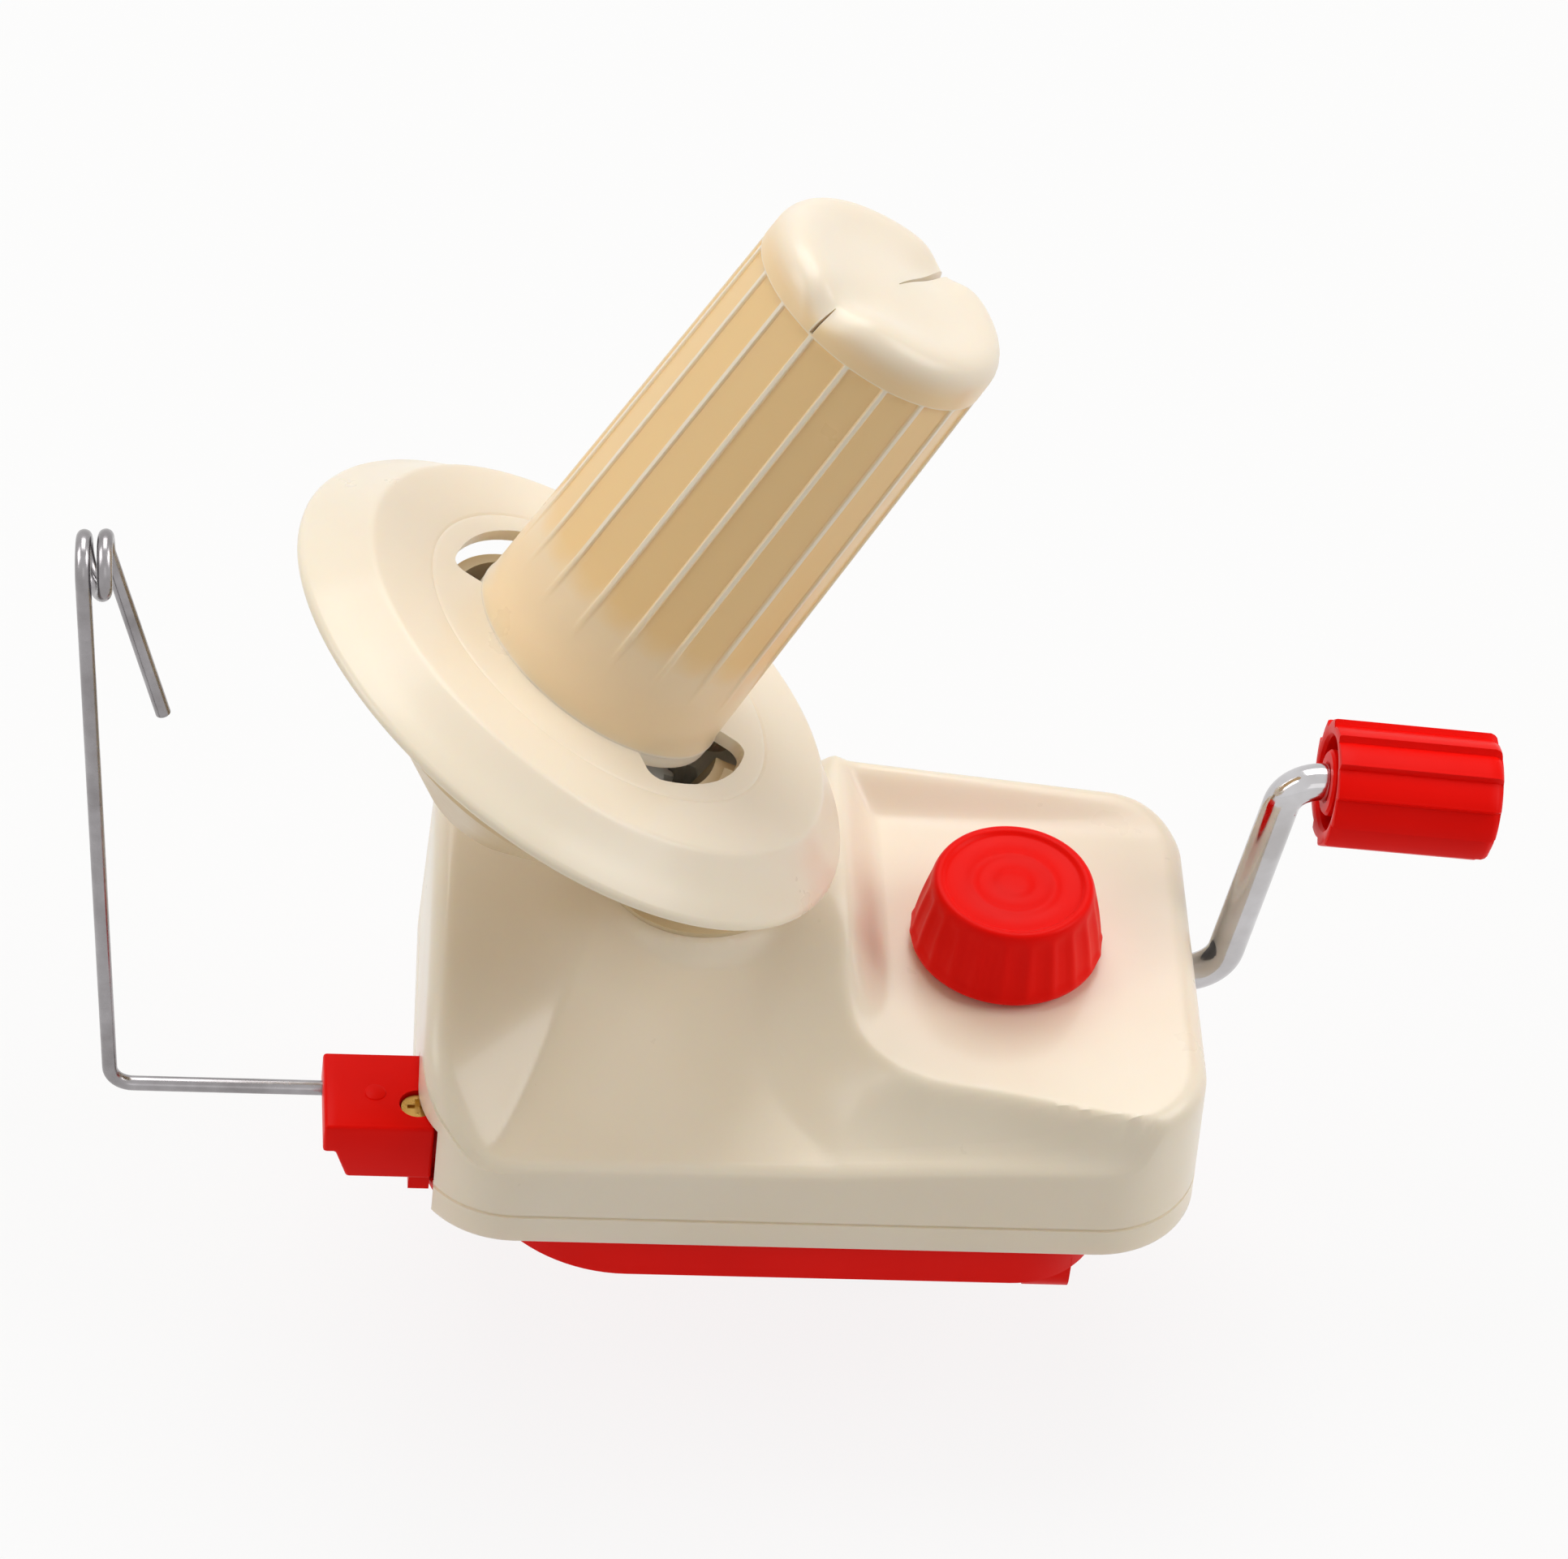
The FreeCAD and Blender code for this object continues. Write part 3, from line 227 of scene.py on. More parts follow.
def nodeColours(tree, factor, first, second):
    mix = tree.nodes.new("ShaderNodeMix")
    mix.data_type = "RGBA"
    feed(tree, mix.inputs["A"], first)
    feed(tree, mix.inputs["B"], second)
    tree.links.new(factor, mix.inputs["Factor"])
    return mix.outputs["Result"]


def nodeBump(tree, kind, source, height, before=None):
    bump = tree.nodes.new("ShaderNodeBump")
    bump.inputs["Strength"].default_value = bumpStrength[kind]
    bump.inputs["Distance"].default_value = height
    tree.links.new(source, bump.inputs["Height"])
    if before:
        tree.links.new(before, bump.inputs["Normal"])
    return bump.outputs["Normal"]


def makePlastic(name, settings):
    # moulded plastic: faint clouding of the colour, fine texture of the mould, uneven gloss, and a painted shade
    # colour where the settings give one
    material = bpy.data.materials.new(name)
    material.use_nodes = True
    tree = material.node_tree
    shader = tree.nodes["Principled BSDF"]
    clouds = nodePattern(tree, "clouds", settings["cloudScale"])
    cloudShare = nodeRange(tree, clouds, 0.0, 1.0, 0.25, 0.75)
    tinted = nodeColours(tree, cloudShare, settings["colour"], settings["cloudColour"])
    # painted shade: the settings' warm shade colour is laid over the cream where the mesh's painted shade layer
    # is high
    if "paintedShadeColour" in settings:
        paintedShade = tree.nodes.new("ShaderNodeAttribute")
        paintedShade.attribute_name = "paintedShade"
        tinted = nodeColours(tree, paintedShade.outputs["Fac"], tinted, settings["paintedShadeColour"])
    tree.links.new(tinted, shader.inputs["Base Color"])
    handling = nodePattern(tree, "handling", settings["glossScale"])
    tree.links.new(nodeRange(tree, handling, *settings["roughness"]), shader.inputs["Roughness"])
    flow = nodePattern(tree, "flow", settings["flowScale"])
    flowBump = nodeBump(tree, "flow", flow, settings["flowHeight"])
    grain = nodePattern(tree, "grain", settings["grainScale"])
    grainBump = nodeBump(tree, "grain", grain, settings["grainHeight"], flowBump)
    tree.links.new(grainBump, shader.inputs["Normal"])
    shader.inputs["Subsurface Weight"].default_value = settings["glow"]
    shader.inputs["Subsurface Radius"].default_value = settings["glowRadius"]
    shader.inputs["Subsurface Scale"].default_value = settings["glowScale"]
    shader.inputs["IOR"].default_value = plasticIndex
    shader.inputs["Specular IOR Level"].default_value = settings.get("shine", usualShine)
    shader.inputs["Coat Weight"].default_value = settings["coat"]
    shader.inputs["Coat Roughness"].default_value = coatRoughness
    return material


def makeMetal(name, settings):
    # drawn or plated metal: fine lines along the piece, dull patches, small specks
    material = bpy.data.materials.new(name)
    material.use_nodes = True
    tree = material.node_tree
    shader = tree.nodes["Principled BSDF"]
    shader.inputs["Metallic"].default_value = 1.0
    patches = nodePattern(tree, "patches", settings["patchScale"])
    share = nodeRange(tree, patches, 0.0, 1.0)
    tinted = nodeColours(tree, share, settings["colour"], settings["patchColour"])
    tree.links.new(tinted, shader.inputs["Base Color"])
    fine = nodePattern(tree, "fine", settings["fineScale"])
    tree.links.new(nodeRange(tree, fine, *settings["roughness"]), shader.inputs["Roughness"])
    lines = nodePattern(tree, "lines", settings["lineScale"], settings["lineStretch"])
    tree.links.new(nodeBump(tree, "lines", lines, settings["lineHeight"]), shader.inputs["Normal"])
    return material


creamSettings = {
    "colour": colour(247, 234, 214), "cloudColour": colour(243, 228, 204),
    "cloudScale": 26.0, "glossScale": 60.0, "roughness": (0.27, 0.36),
    "flowScale": 18.0, "flowHeight": 0.00012, "grainScale": 2600.0, "grainHeight": 0.000012,
    "glow": 0.22, "glowRadius": (1.0, 0.62, 0.32), "glowScale": 0.004, "coat": 0.15,
}
plasticSettings = {
    "creamPlastic": creamSettings,
    # the spindle's cream with a painted warm shade colour for the hollows of its flutes, its foot and its brow
    "spindlePaintedShadePlastic": {**creamSettings, "paintedShadeColour": colour(245, 208, 148)},
    "beigePlastic": {
        "colour": colour(222, 203, 168), "cloudColour": colour(214, 192, 154),
        "cloudScale": 40.0, "glossScale": 80.0, "roughness": (0.32, 0.45),
        "flowScale": 30.0, "flowHeight": 0.00008, "grainScale": 2600.0, "grainHeight": 0.000014,
        "glow": 0.18, "glowRadius": (1.0, 0.6, 0.3), "glowScale": 0.003, "coat": 0.05,
    },
    "redPlastic": {
        "colour": colour(251, 17, 6), "cloudColour": colour(241, 12, 4), "shine": 0.08,
        "cloudScale": 30.0, "glossScale": 70.0, "roughness": (0.3, 0.42),
        "flowScale": 24.0, "flowHeight": 0.0001, "grainScale": 2400.0, "grainHeight": 0.000014,
        "glow": 0.05, "glowRadius": (1.0, 0.2, 0.1), "glowScale": 0.002, "coat": 0.0,
    },
    "whiteAcetal": {
        "colour": colour(240, 240, 236), "cloudColour": colour(232, 231, 225),
        "cloudScale": 60.0, "glossScale": 90.0, "roughness": (0.35, 0.5),
        "flowScale": 40.0, "flowHeight": 0.00005, "grainScale": 3000.0, "grainHeight": 0.00001,
        "glow": 0.2, "glowRadius": (1.0, 0.8, 0.7), "glowScale": 0.002, "coat": 0.0,
    },
    "greyBush": {
        "colour": colour(120, 118, 112), "cloudColour": colour(104, 101, 95),
        "cloudScale": 120.0, "glossScale": 200.0, "roughness": (0.4, 0.6),
        "flowScale": 90.0, "flowHeight": 0.00004, "grainScale": 4000.0, "grainHeight": 0.00002,
        "glow": 0.0, "glowRadius": (1.0, 1.0, 1.0), "glowScale": 0.001, "coat": 0.0,
    },
    "padRubber": {
        "colour": colour(46, 44, 42), "cloudColour": colour(62, 59, 56),
        "cloudScale": 150.0, "glossScale": 300.0, "roughness": (0.7, 0.9),
        "flowScale": 300.0, "flowHeight": 0.0001, "grainScale": 5000.0, "grainHeight": 0.00004,
        "glow": 0.0, "glowRadius": (1.0, 1.0, 1.0), "glowScale": 0.001, "coat": 0.0,
    },
}
metalSettings = {
    "chromedRod": {
        "colour": colour(204, 202, 204), "patchColour": colour(182, 179, 179),
        "patchScale": 90.0, "fineScale": 700.0, "roughness": (0.06, 0.16),
        "lineScale": 300.0, "lineStretch": (1.0, 6.0, 1.0), "lineHeight": 0.00002,
    },
    "springWire": {
        "colour": colour(164, 161, 163), "patchColour": colour(138, 134, 135),
        "patchScale": 140.0, "fineScale": 900.0, "roughness": (0.16, 0.3),
        "lineScale": 900.0, "lineStretch": (6.0, 6.0, 0.4), "lineHeight": 0.00001,
    },
    "zincSteel": {
        "colour": colour(190, 192, 194), "patchColour": colour(168, 170, 176),
        "patchScale": 260.0, "fineScale": 900.0, "roughness": (0.25, 0.45),
        "lineScale": 900.0, "lineStretch": (1.0, 1.0, 3.0), "lineHeight": 0.00001,
    },
    "springSteel": {
        "colour": colour(120, 116, 112), "patchColour": colour(92, 88, 84),
        "patchScale": 200.0, "fineScale": 900.0, "roughness": (0.3, 0.5),
        "lineScale": 1200.0, "lineStretch": (1.0, 1.0, 1.0), "lineHeight": 0.00001,
    },
    "brassScrew": {
        "colour": colour(214, 178, 104), "patchColour": colour(182, 144, 78),
        "patchScale": 300.0, "fineScale": 900.0, "roughness": (0.22, 0.4),
        "lineScale": 1400.0, "lineStretch": (1.0, 1.0, 1.0), "lineHeight": 0.00001,
    },
}

finishes = {}
for name, settings in plasticSettings.items():
    finishes[name] = makePlastic(name, settings)
for name, settings in metalSettings.items():
    finishes[name] = makeMetal(name, settings)

slotFinish = {
    "cream_plastic": "creamPlastic",
    "beige_plastic": "beigePlastic",
    "red_plastic": "redPlastic",
    "white_acetal": "whiteAcetal",
    "grey_bush": "greyBush",
    "pad_rubber": "padRubber",
    "chromed_rod": "chromedRod",
    "zinc_steel": "zincSteel",
    "spring_steel": "springSteel",
    "brass_screw": "brassScrew",
}
for name, piece in nodes.items():
    for place in piece.material_slots:
        key = place.material.name.split(".")[0] if place.material else ""
        if key in slotFinish:
            place.material = finishes[slotFinish[key]]
for place in nodes["guide_wire"].material_slots:
    place.material = finishes["springWire"]
print("finishes made")


# modelling helpers

def nameNew(name):
    # the piece that was just added
    piece = bpy.context.object
    piece.name = name
    piece.data.name = name
    return piece


def selectOnly(piece):
    deselectAll()
    piece.select_set(True)
    bpy.context.view_layer.objects.active = piece


def pick(piece, kind, test):
    # selects what passes the test, by its middle, in edit mode
    bpy.ops.mesh.select_mode(type=kind)
    bpy.ops.mesh.select_all(action="DESELECT")
    form = bmesh.from_edit_mesh(piece.data)
    if kind == "VERT":
        for corner in form.verts:
            corner.select_set(test(corner.co))
    elif kind == "EDGE":
        for edge in form.edges:
            edge.select_set(test((edge.verts[0].co + edge.verts[1].co) / 2.0))
    else:
        for face in form.faces:
            face.select_set(test(face.calc_center_median()))
    form.select_flush_mode()
    bmesh.update_edit_mesh(piece.data)


def sendCorner(corner, place):
    x, y, z = place(corner.co.x / mm, corner.co.y / mm, corner.co.z / mm)
    corner.co = (x * mm, y * mm, z * mm)


def shapeBy(piece, place):
    # sends every corner to where the function puts it, in millimetres
    for corner in piece.data.vertices:
        sendCorner(corner, place)
    piece.data.update()


def editBy(piece, place, chosenOnly=False):
    # as above, in edit mode
    form = bmesh.from_edit_mesh(piece.data)
    for corner in form.verts:
        if corner.select or not chosenOnly:
            sendCorner(corner, place)
    bmesh.update_edit_mesh(piece.data)


def cutAcross(axis, value):
    # cuts the selected faces by a plane across the axis, at a place in millimetres
    point, way = [0.0, 0.0, 0.0], [0.0, 0.0, 0.0]
    point[axis] = value * mm
    way[axis] = 1.0
    bpy.ops.mesh.bisect(plane_co=point, plane_no=way)


def closeMesh(piece):
    selectOnly(piece)
    bpy.ops.object.mode_set(mode="EDIT")
    bpy.ops.mesh.select_all(action="SELECT")
    bpy.ops.mesh.remove_doubles(threshold=0.01 * mm)
    bpy.ops.mesh.normals_make_consistent(inside=False)
    bpy.ops.object.mode_set(mode="OBJECT")


def turnPiece(name, profile, segments):
    # a ring of edges drawn along a profile of radius and height, as on a lathe
    deselectAll()
    radius, height = profile[0]
    bpy.ops.mesh.primitive_circle_add(vertices=segments, radius=radius * mm)
    piece = nameNew(name)
    bpy.ops.object.mode_set(mode="EDIT")
    bpy.ops.mesh.select_all(action="SELECT")
    bpy.ops.transform.translate(value=(0.0, 0.0, height * mm))
    for nextRadius, nextHeight in profile[1:]:
        rise = (0.0, 0.0, (nextHeight - height) * mm)
        bpy.ops.mesh.extrude_edges_move(TRANSFORM_OT_translate={"value": rise})
        share = nextRadius / radius
        bpy.ops.transform.resize(value=(share, share, 1.0), center_override=(0.0, 0.0, 0.0))
        radius, height = nextRadius, nextHeight
    closeMesh(piece)
    return piece


def addBlock(name, low, high):
    deselectAll()
    middle = [(a + b) / 2.0 * mm for a, b in zip(low, high)]
    size = [(b - a) * mm for a, b in zip(low, high)]
    bpy.ops.mesh.primitive_cube_add(size=1.0, location=middle, scale=size)
    piece = nameNew(name)
    bpy.ops.object.transform_apply(location=True, rotation=True, scale=True)
    return piece


def addRod(name, radius, base, length, turn=(0.0, 0.0, 0.0), sides=64):
    # an upright rod, turned about its base
    deselectAll()
    bpy.ops.mesh.primitive_cylinder_add(vertices=sides, radius=radius * mm, depth=length * mm)
    piece = nameNew(name)
    turned = Euler([math.radians(angle) for angle in turn]).to_matrix().to_4x4()
    lifted = Matrix.Translation((0.0, 0.0, length / 2.0 * mm))
    piece.matrix_world = placeAt(base) @ turned @ lifted
    bpy.ops.object.transform_apply(location=True, rotation=True, scale=True)
    return piece


def placeAt(point):
    return Matrix.Translation([value * mm for value in point])


def joinPieces(pieces):
    deselectAll()
    for piece in pieces:
        piece.select_set(True)
    bpy.context.view_layer.objects.active = pieces[0]
    bpy.ops.object.join()
    return pieces[0]


def applyModifier(piece, modifier):
    selectOnly(piece)
    bpy.ops.object.modifier_apply(modifier=modifier.name)


def cutAway(piece, cutter, action="DIFFERENCE"):
    cut = piece.modifiers.new("cut", "BOOLEAN")
    cut.operation = action
    cut.solver = "EXACT"
    cut.object = cutter
    applyModifier(piece, cut)
    bpy.data.objects.remove(cutter)


def roundEdges(piece, width, segments, angle=35.0):
    rounding = piece.modifiers.new("rounding", "BEVEL")
    rounding.width = width * mm
    rounding.segments = segments
    rounding.limit_method = "ANGLE"
    rounding.angle_limit = math.radians(angle)
    applyModifier(piece, rounding)


def setInPlace(piece, place):
    # the place goes into the mesh, the object stays at the origin
    selectOnly(piece)
    piece.matrix_world = place
    bpy.ops.object.transform_apply(location=True, rotation=True, scale=True)


def finishPiece(piece, body, finish, replaced, smooth):
    # edges flatter than the smooth angle, in degrees, are shaded as one surface
    selectOnly(piece)
    bpy.ops.object.shade_smooth_by_angle(angle=math.radians(smooth))
    piece.data.materials.clear()
    piece.data.materials.append(finishes[finish])
    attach(piece, body)
    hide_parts(*replaced)
    print(piece.name, "made,", len(piece.data.polygons), "faces")


def smoothStep(low, high, value):
    share = min(1.0, max(0.0, (value - low) / (high - low)))
    return share * share * (3.0 - 2.0 * share)


def smoothMin(first, second, reach):
    return 0.5 * (first + second - math.sqrt((first - second) ** 2 + reach ** 2))


def smoothMax(first, second, reach):
    return 0.5 * (first + second + math.sqrt((first - second) ** 2 + reach ** 2))


# upper shell of the housing, in millimetres from the turret's axis

shellSettings = {
    # outline and walls
    "left": 54.0, "leftTaper": 4.6, "right": 94.5, "front": 61.0, "back": 36.0, "backTaper": 6.0,
    "frontCorner": 20.0, "backCorner": 15.0, "cornerSteps": 20,
    "draft": 1.6, "draftFade": 12.0, "wall": 2.4, "skirt": 9.0,
    # rounded edge of the top, tighter along the front below the slope
    "edgeRound": 4.0, "frontRound": 2.5, "frontEase": (50.0, 57.0), "frontFall": (-40.0, -34.0),
    # grid of the top
    "cell": 1.0, "sideStep": 1.2, "insets": (0.12, 0.28, 0.5, 0.7, 0.9, 1.1, 1.2), "joinCloser": 0.08,
    # groove round the wall, and the foot with its height and inset
    "grooveTop": 16.0, "grooveBottom": 15.1, "grooveDepth": 0.42, "grooveEdge": 0.15,
    "wallShares": (0.25, 0.5, 0.75, 1.0), "wallEnd": 0.4,
    "foot": [(12.0, 0.0), (9.6, 0.0), (9.2, 0.12), (9.0, 0.4)],
    # scoop below the disc, which rises to the collar of the turret
    "scoopFront": 28.8, "scoopEnd": 13.0, "scoopCurve": 1.6, "scoopOver": 0.8, "scoopCap": 0.6,
    "scoopBlend": 2.0, "rightRise": 1.5, "rightSpan": (20.0, 60.0),
    "collar": 47.0, "collarFlat": 18.45, "collarRun": 3.0,
    # left flank, narrower toward the front
    "crest": 51.0, "crestFront": 31.0, "crestStart": 3.0, "crestRun": 18.0,
    "narrowStart": -15.0, "narrowRun": 46.0, "narrowMost": 1.15, "narrowBy": 20.7,
    "flankFoot": 34.0, "flankTop": 5.0, "flankCurve": 1.4,
    # plateau, its edge, and the slope that falls from it to the scoop
    "plateau": 41.6,
    "fold": [(25.8, 60.0), (25.8, -6.0), (25.6, -26.5), (27.4, -34.8), (30.6, -40.4), (35.2, -45.8),
             (41.5, -49.0), (48.0, -50.4), (55.1, -51.9), (62.5, -54.0), (69.9, -56.0), (77.0, -57.6),
             (84.0, -59.0), (110.0, -64.0)],
    "foldBlend": 0.8, "foldSink": 0.12,
    "slopeWidth": 17.0, "slopeCurve": 1.55, "rimMargin": 2.2, "rimLeast": 0.6, "rimBlend": 1.6,
    # ridge beside the collar, lip along the back
    "ridgeRise": 8.5, "ridgeAlong": (-40.0, -8.0), "ridgeInside": (27.0, 35.5),
    "lip": 6.6, "lipStart": 38.0, "lipFall": 0.088, "lipWidth": 12.5, "lipEnd": 1.5, "lipBlend": 0.8,
    # seat of the knob's washer, notch for the guide bracket
    "knob": (57.5, -12.0), "washerRadius": 9.4, "washerSink": 0.3,
    "notch": (-49.2, -31.8, 29.1), "notchNear": (-40.0, -22.0, 36.0),
}


def wallLines():
    # a point and the way inward for each wall: left, front, right, back
    s = shellSettings
    depth = s["front"] + s["back"]
    span = s["left"] + s["right"]
    sides = [
        ((-s["left"], -s["front"]), (depth, -s["leftTaper"])),
        ((0.0, -s["front"]), (0.0, 1.0)),
        ((s["right"], 0.0), (-1.0, 0.0)),
        ((-s["left"], s["back"]), (-s["backTaper"], -span)),
    ]
    lines = []
    for point, inward in sides:
        length = math.hypot(*inward)
        lines.append((point, (inward[0] / length, inward[1] / length)))
    return lines


def meeting(first, second, inset):
    # where two walls meet, both moved inward
    (ax, ay), (awayX, awayY) = first
    (bx, by), (besideX, besideY) = second
    firstReach = awayX * ax + awayY * ay + inset
    secondReach = besideX * bx + besideY * by + inset
    cross = awayX * besideY - awayY * besideX
    x = (firstReach * besideY - secondReach * awayY) / cross
    y = (awayX * secondReach - besideX * firstReach) / cross
    return x, y


walls = wallLines()
cornerRounds = [(0, 1, shellSettings["frontCorner"]), (1, 2, shellSettings["frontCorner"]),
                (2, 3, shellSettings["backCorner"]), (3, 0, shellSettings["backCorner"])]
cornerMiddles = [meeting(walls[a], walls[b], size) for a, b, size in cornerRounds]


def wallDistance(x, y):
    # distance inward from the rounded outline, and the way outward there
    for (a, b, size), middle in zip(cornerRounds, cornerMiddles):
        (awayX, awayY), (besideX, besideY) = walls[a][1], walls[b][1]
        across, along = x - middle[0], y - middle[1]
        cross = awayX * besideY - awayY * besideX
        first = -(across * besideY - along * besideX) / cross
        second = -(awayX * along - awayY * across) / cross
        if first > 0.0 and second > 0.0:
            length = max(0.0001, math.hypot(across, along))
            return size - length, (across / length, along / length)
    best = None
    for point, inward in walls:
        distance = (x - point[0]) * inward[0] + (y - point[1]) * inward[1]
        if best is None or distance < best[0]:
            best = (distance, (-inward[0], -inward[1]))
    return best


def foldDistance(x, y):
    # how far outside the plateau's edge, less than nothing on the plateau
    line = shellSettings["fold"]
    nearest = math.inf
    side = 1.0
    for (ax, ay), (bx, by) in zip(line, line[1:]):
        dx, dy = bx - ax, by - ay
        share = min(1.0, max(0.0, ((x - ax) * dx + (y - ay) * dy) / (dx * dx + dy * dy)))
        px, py = x - ax - share * dx, y - ay - share * dy
        distance = math.hypot(px, py)
        if distance < nearest:
            nearest = distance
            side = 1.0 if px * dy - py * dx > 0.0 else -1.0
    return nearest * side


def scoopHeight(x, y):
    # the hollow below the disc, and the flank on its left
    s = shellSettings
    forward = max(0.0, (y + s["front"]) / (s["front"] - s["scoopEnd"]))
    rising = s["scoopFront"] + (s["collar"] + s["scoopOver"] - s["scoopFront"]) * forward ** s["scoopCurve"]
    low = smoothMin(rising, s["collar"] + s["scoopCap"], s["scoopBlend"])
    fall = math.exp(-(y + s["front"] - s["crestStart"]) / s["crestRun"])
    crest = s["crest"] - (s["crest"] - s["crestFront"]) * fall
    narrow = min(max(0.0, s["narrowStart"] - y) / s["narrowRun"], s["narrowMost"])
    foot = s["left"] - s["flankFoot"] + s["narrowBy"] * narrow
    climb = min(1.0, max(0.0, (-x - foot) / (s["left"] - s["flankTop"] - foot)))
    low += s["rightRise"] * smoothStep(*s["rightSpan"], x)
    return low + (crest - low) * (1.0 - (1.0 - climb) ** s["flankCurve"])


def plateauHeight(x, y):
    # the flat with the knob, the ridge beside the collar and the lip along the back
    s = shellSettings
    back = s["back"] - s["backTaper"] * (x + s["left"]) / (s["left"] + s["right"])
    ridge = s["ridgeRise"] * smoothStep(*s["ridgeAlong"], y) * (1.0 - smoothStep(*s["ridgeInside"], x))
    lip = max(0.0, s["lip"] - s["lipFall"] * (x - s["lipStart"]))
    lip *= smoothStep(back - s["lipWidth"], back - s["lipEnd"], y)
    return s["plateau"] + smoothMax(ridge, lip, s["lipBlend"]) - s["lipBlend"] / 2.0


def topHeight(x, y):
    s = shellSettings
    low, high = scoopHeight(x, y), plateauHeight(x, y)
    eased = max(0.0, smoothMax(foldDistance(x, y), 0.0, s["foldBlend"]) - s["foldSink"])
    room = smoothMax(wallDistance(x, y)[0] - s["rimMargin"], s["rimLeast"], s["rimBlend"])
    share = max(0.0, 1.0 - eased / min(s["slopeWidth"], eased + room)) ** s["slopeCurve"]
    height = low + (high - low) * share
    seat = math.hypot(x, y) - s["collarFlat"]
    height += (s["collar"] - height) * (1.0 - smoothStep(0.0, s["collarRun"], seat))
    if math.hypot(x - s["knob"][0], y - s["knob"][1]) < s["washerRadius"]:
        height = s["plateau"] - s["washerSink"]
    return height


def roundedTop(x, y, _):
    # the top with its rounded edge
    s = shellSettings
    inside = max(0.0, wallDistance(x, y)[0])
    height = topHeight(x, y)
    tighter = smoothStep(*s["frontEase"], -y) * smoothStep(*s["frontFall"], -height)
    size = s["edgeRound"] - (s["edgeRound"] - s["frontRound"]) * tighter
    if inside < size:
        height -= size - math.sqrt(size ** 2 - (size - inside) ** 2)
    return x, y, height


def drawOutline():
    # flat face with the outline of the housing, left in edit mode
    s = shellSettings
    deselectAll()
    bpy.ops.mesh.primitive_plane_add(size=2.0 * mm)
    shell = nameNew("upperShell")
    corners = {(-1, -1): (0, 1), (1, -1): (1, 2), (1, 1): (2, 3), (-1, 1): (3, 0)}
    for corner in shell.data.vertices:
        first, second = corners[(round(corner.co.x / mm), round(corner.co.y / mm))]
        x, y = meeting(walls[first], walls[second], 0.0)
        corner.co = (x * mm, y * mm, 0.0)
    bpy.ops.object.mode_set(mode="EDIT")
    # only the sharp corners lie well off the rounded outline
    for isFront, size in ((True, s["frontCorner"]), (False, s["backCorner"])):
        pick(shell, "VERT", lambda place: (place.y < 0.0) == isFront
             and abs(wallDistance(place.x / mm, place.y / mm)[0]) > 2.0)
        bpy.ops.mesh.bevel(offset=size * mm, offset_type="OFFSET", segments=s["cornerSteps"], profile=0.5,
                           affect="VERTICES")
    return shell


def divideTop(shell):
    # the long sides get short edges, so that their top can follow the moulded form
    s = shellSettings
    bpy.ops.mesh.select_mode(type="EDGE")
    for side in range(4):
        bpy.ops.mesh.select_all(action="DESELECT")
        longest = max(bmesh.from_edit_mesh(shell.data).edges, key=lambda edge: edge.calc_length())
        longest.select_set(True)
        bpy.ops.mesh.subdivide(number_cuts=int(longest.calc_length() / (s["sideStep"] * mm)))
    # rings along the edge, a grid inside them
    bpy.ops.mesh.select_mode(type="FACE")
    bpy.ops.mesh.select_all(action="SELECT")
    for step in s["insets"]:
        bpy.ops.mesh.inset(thickness=step * mm)
    bpy.ops.mesh.hide(unselected=True)
    for axis, low, high in ((0, s["left"], s["right"]), (1, s["front"], s["back"])):
        for i in range(1, int((low + high) / s["cell"])):
            bpy.ops.mesh.select_all(action="SELECT")
            cutAcross(axis, -low + i * s["cell"])
    bpy.ops.mesh.reveal(select=False)
    bpy.ops.mesh.select_all(action="SELECT")
    bpy.ops.mesh.remove_doubles(threshold=s["joinCloser"] * mm)
    bpy.ops.mesh.select_mode(type="EDGE")
    bpy.ops.mesh.select_all(action="DESELECT")
    bpy.ops.mesh.select_non_manifold()


def extendRim(shell, place):
    bpy.ops.mesh.extrude_edges_move(TRANSFORM_OT_translate={"value": (0.0, 0.0, 0.0)})
    editBy(shell, place, chosenOnly=True)


def lowerWalls(shell):
    # from the selected rim down, in and out of the groove, to the foot
    s = shellSettings
    starts = {}

    def toward(share):
        def place(x, y, z):
            start = starts.setdefault((round(x, 2), round(y, 2)), z)
            return x, y, start + (s["grooveTop"] + s["wallEnd"] - start) * share
        return place

    def outward(step, level):
        def place(x, y, z):
            way = wallDistance(x, y)[1]
            return x + way[0] * step, y + way[1] * step, level
        return place

    for share in s["wallShares"]:
        extendRim(shell, toward(share))
    top, bottom, depth, edge = s["grooveTop"], s["grooveBottom"], s["grooveDepth"], s["grooveEdge"]
    inset = 0.0
    for level, value in [(top, 0.0), (top - edge, depth), (bottom + edge, depth), (bottom, 0.0)] + s["foot"]:
        extendRim(shell, outward(inset - value, level))
        inset = value


def leanWalls(shell):
    # the walls lean inward toward the top
    s = shellSettings
    lean = math.tan(math.radians(s["draft"]))

    def place(x, y, z):
        distance, way = wallDistance(x, y)
        shift = lean * (z - s["skirt"]) * max(0.0, 1.0 - max(0.0, distance) / s["draftFade"])
        return x - way[0] * shift, y - way[1] * shift, z

    editBy(shell, place)


def cutNotch(shell):
    # room for the guide bracket at the left front corner
    def below(limits):
        return lambda place: all(value < limit * mm for value, limit in zip(place, limits))

    for axis, value in enumerate(shellSettings["notch"]):
        pick(shell, "FACE", below(shellSettings["notchNear"]))
        cutAcross(axis, value)
    pick(shell, "FACE", below(shellSettings["notch"]))
    bpy.ops.mesh.delete(type="FACE")


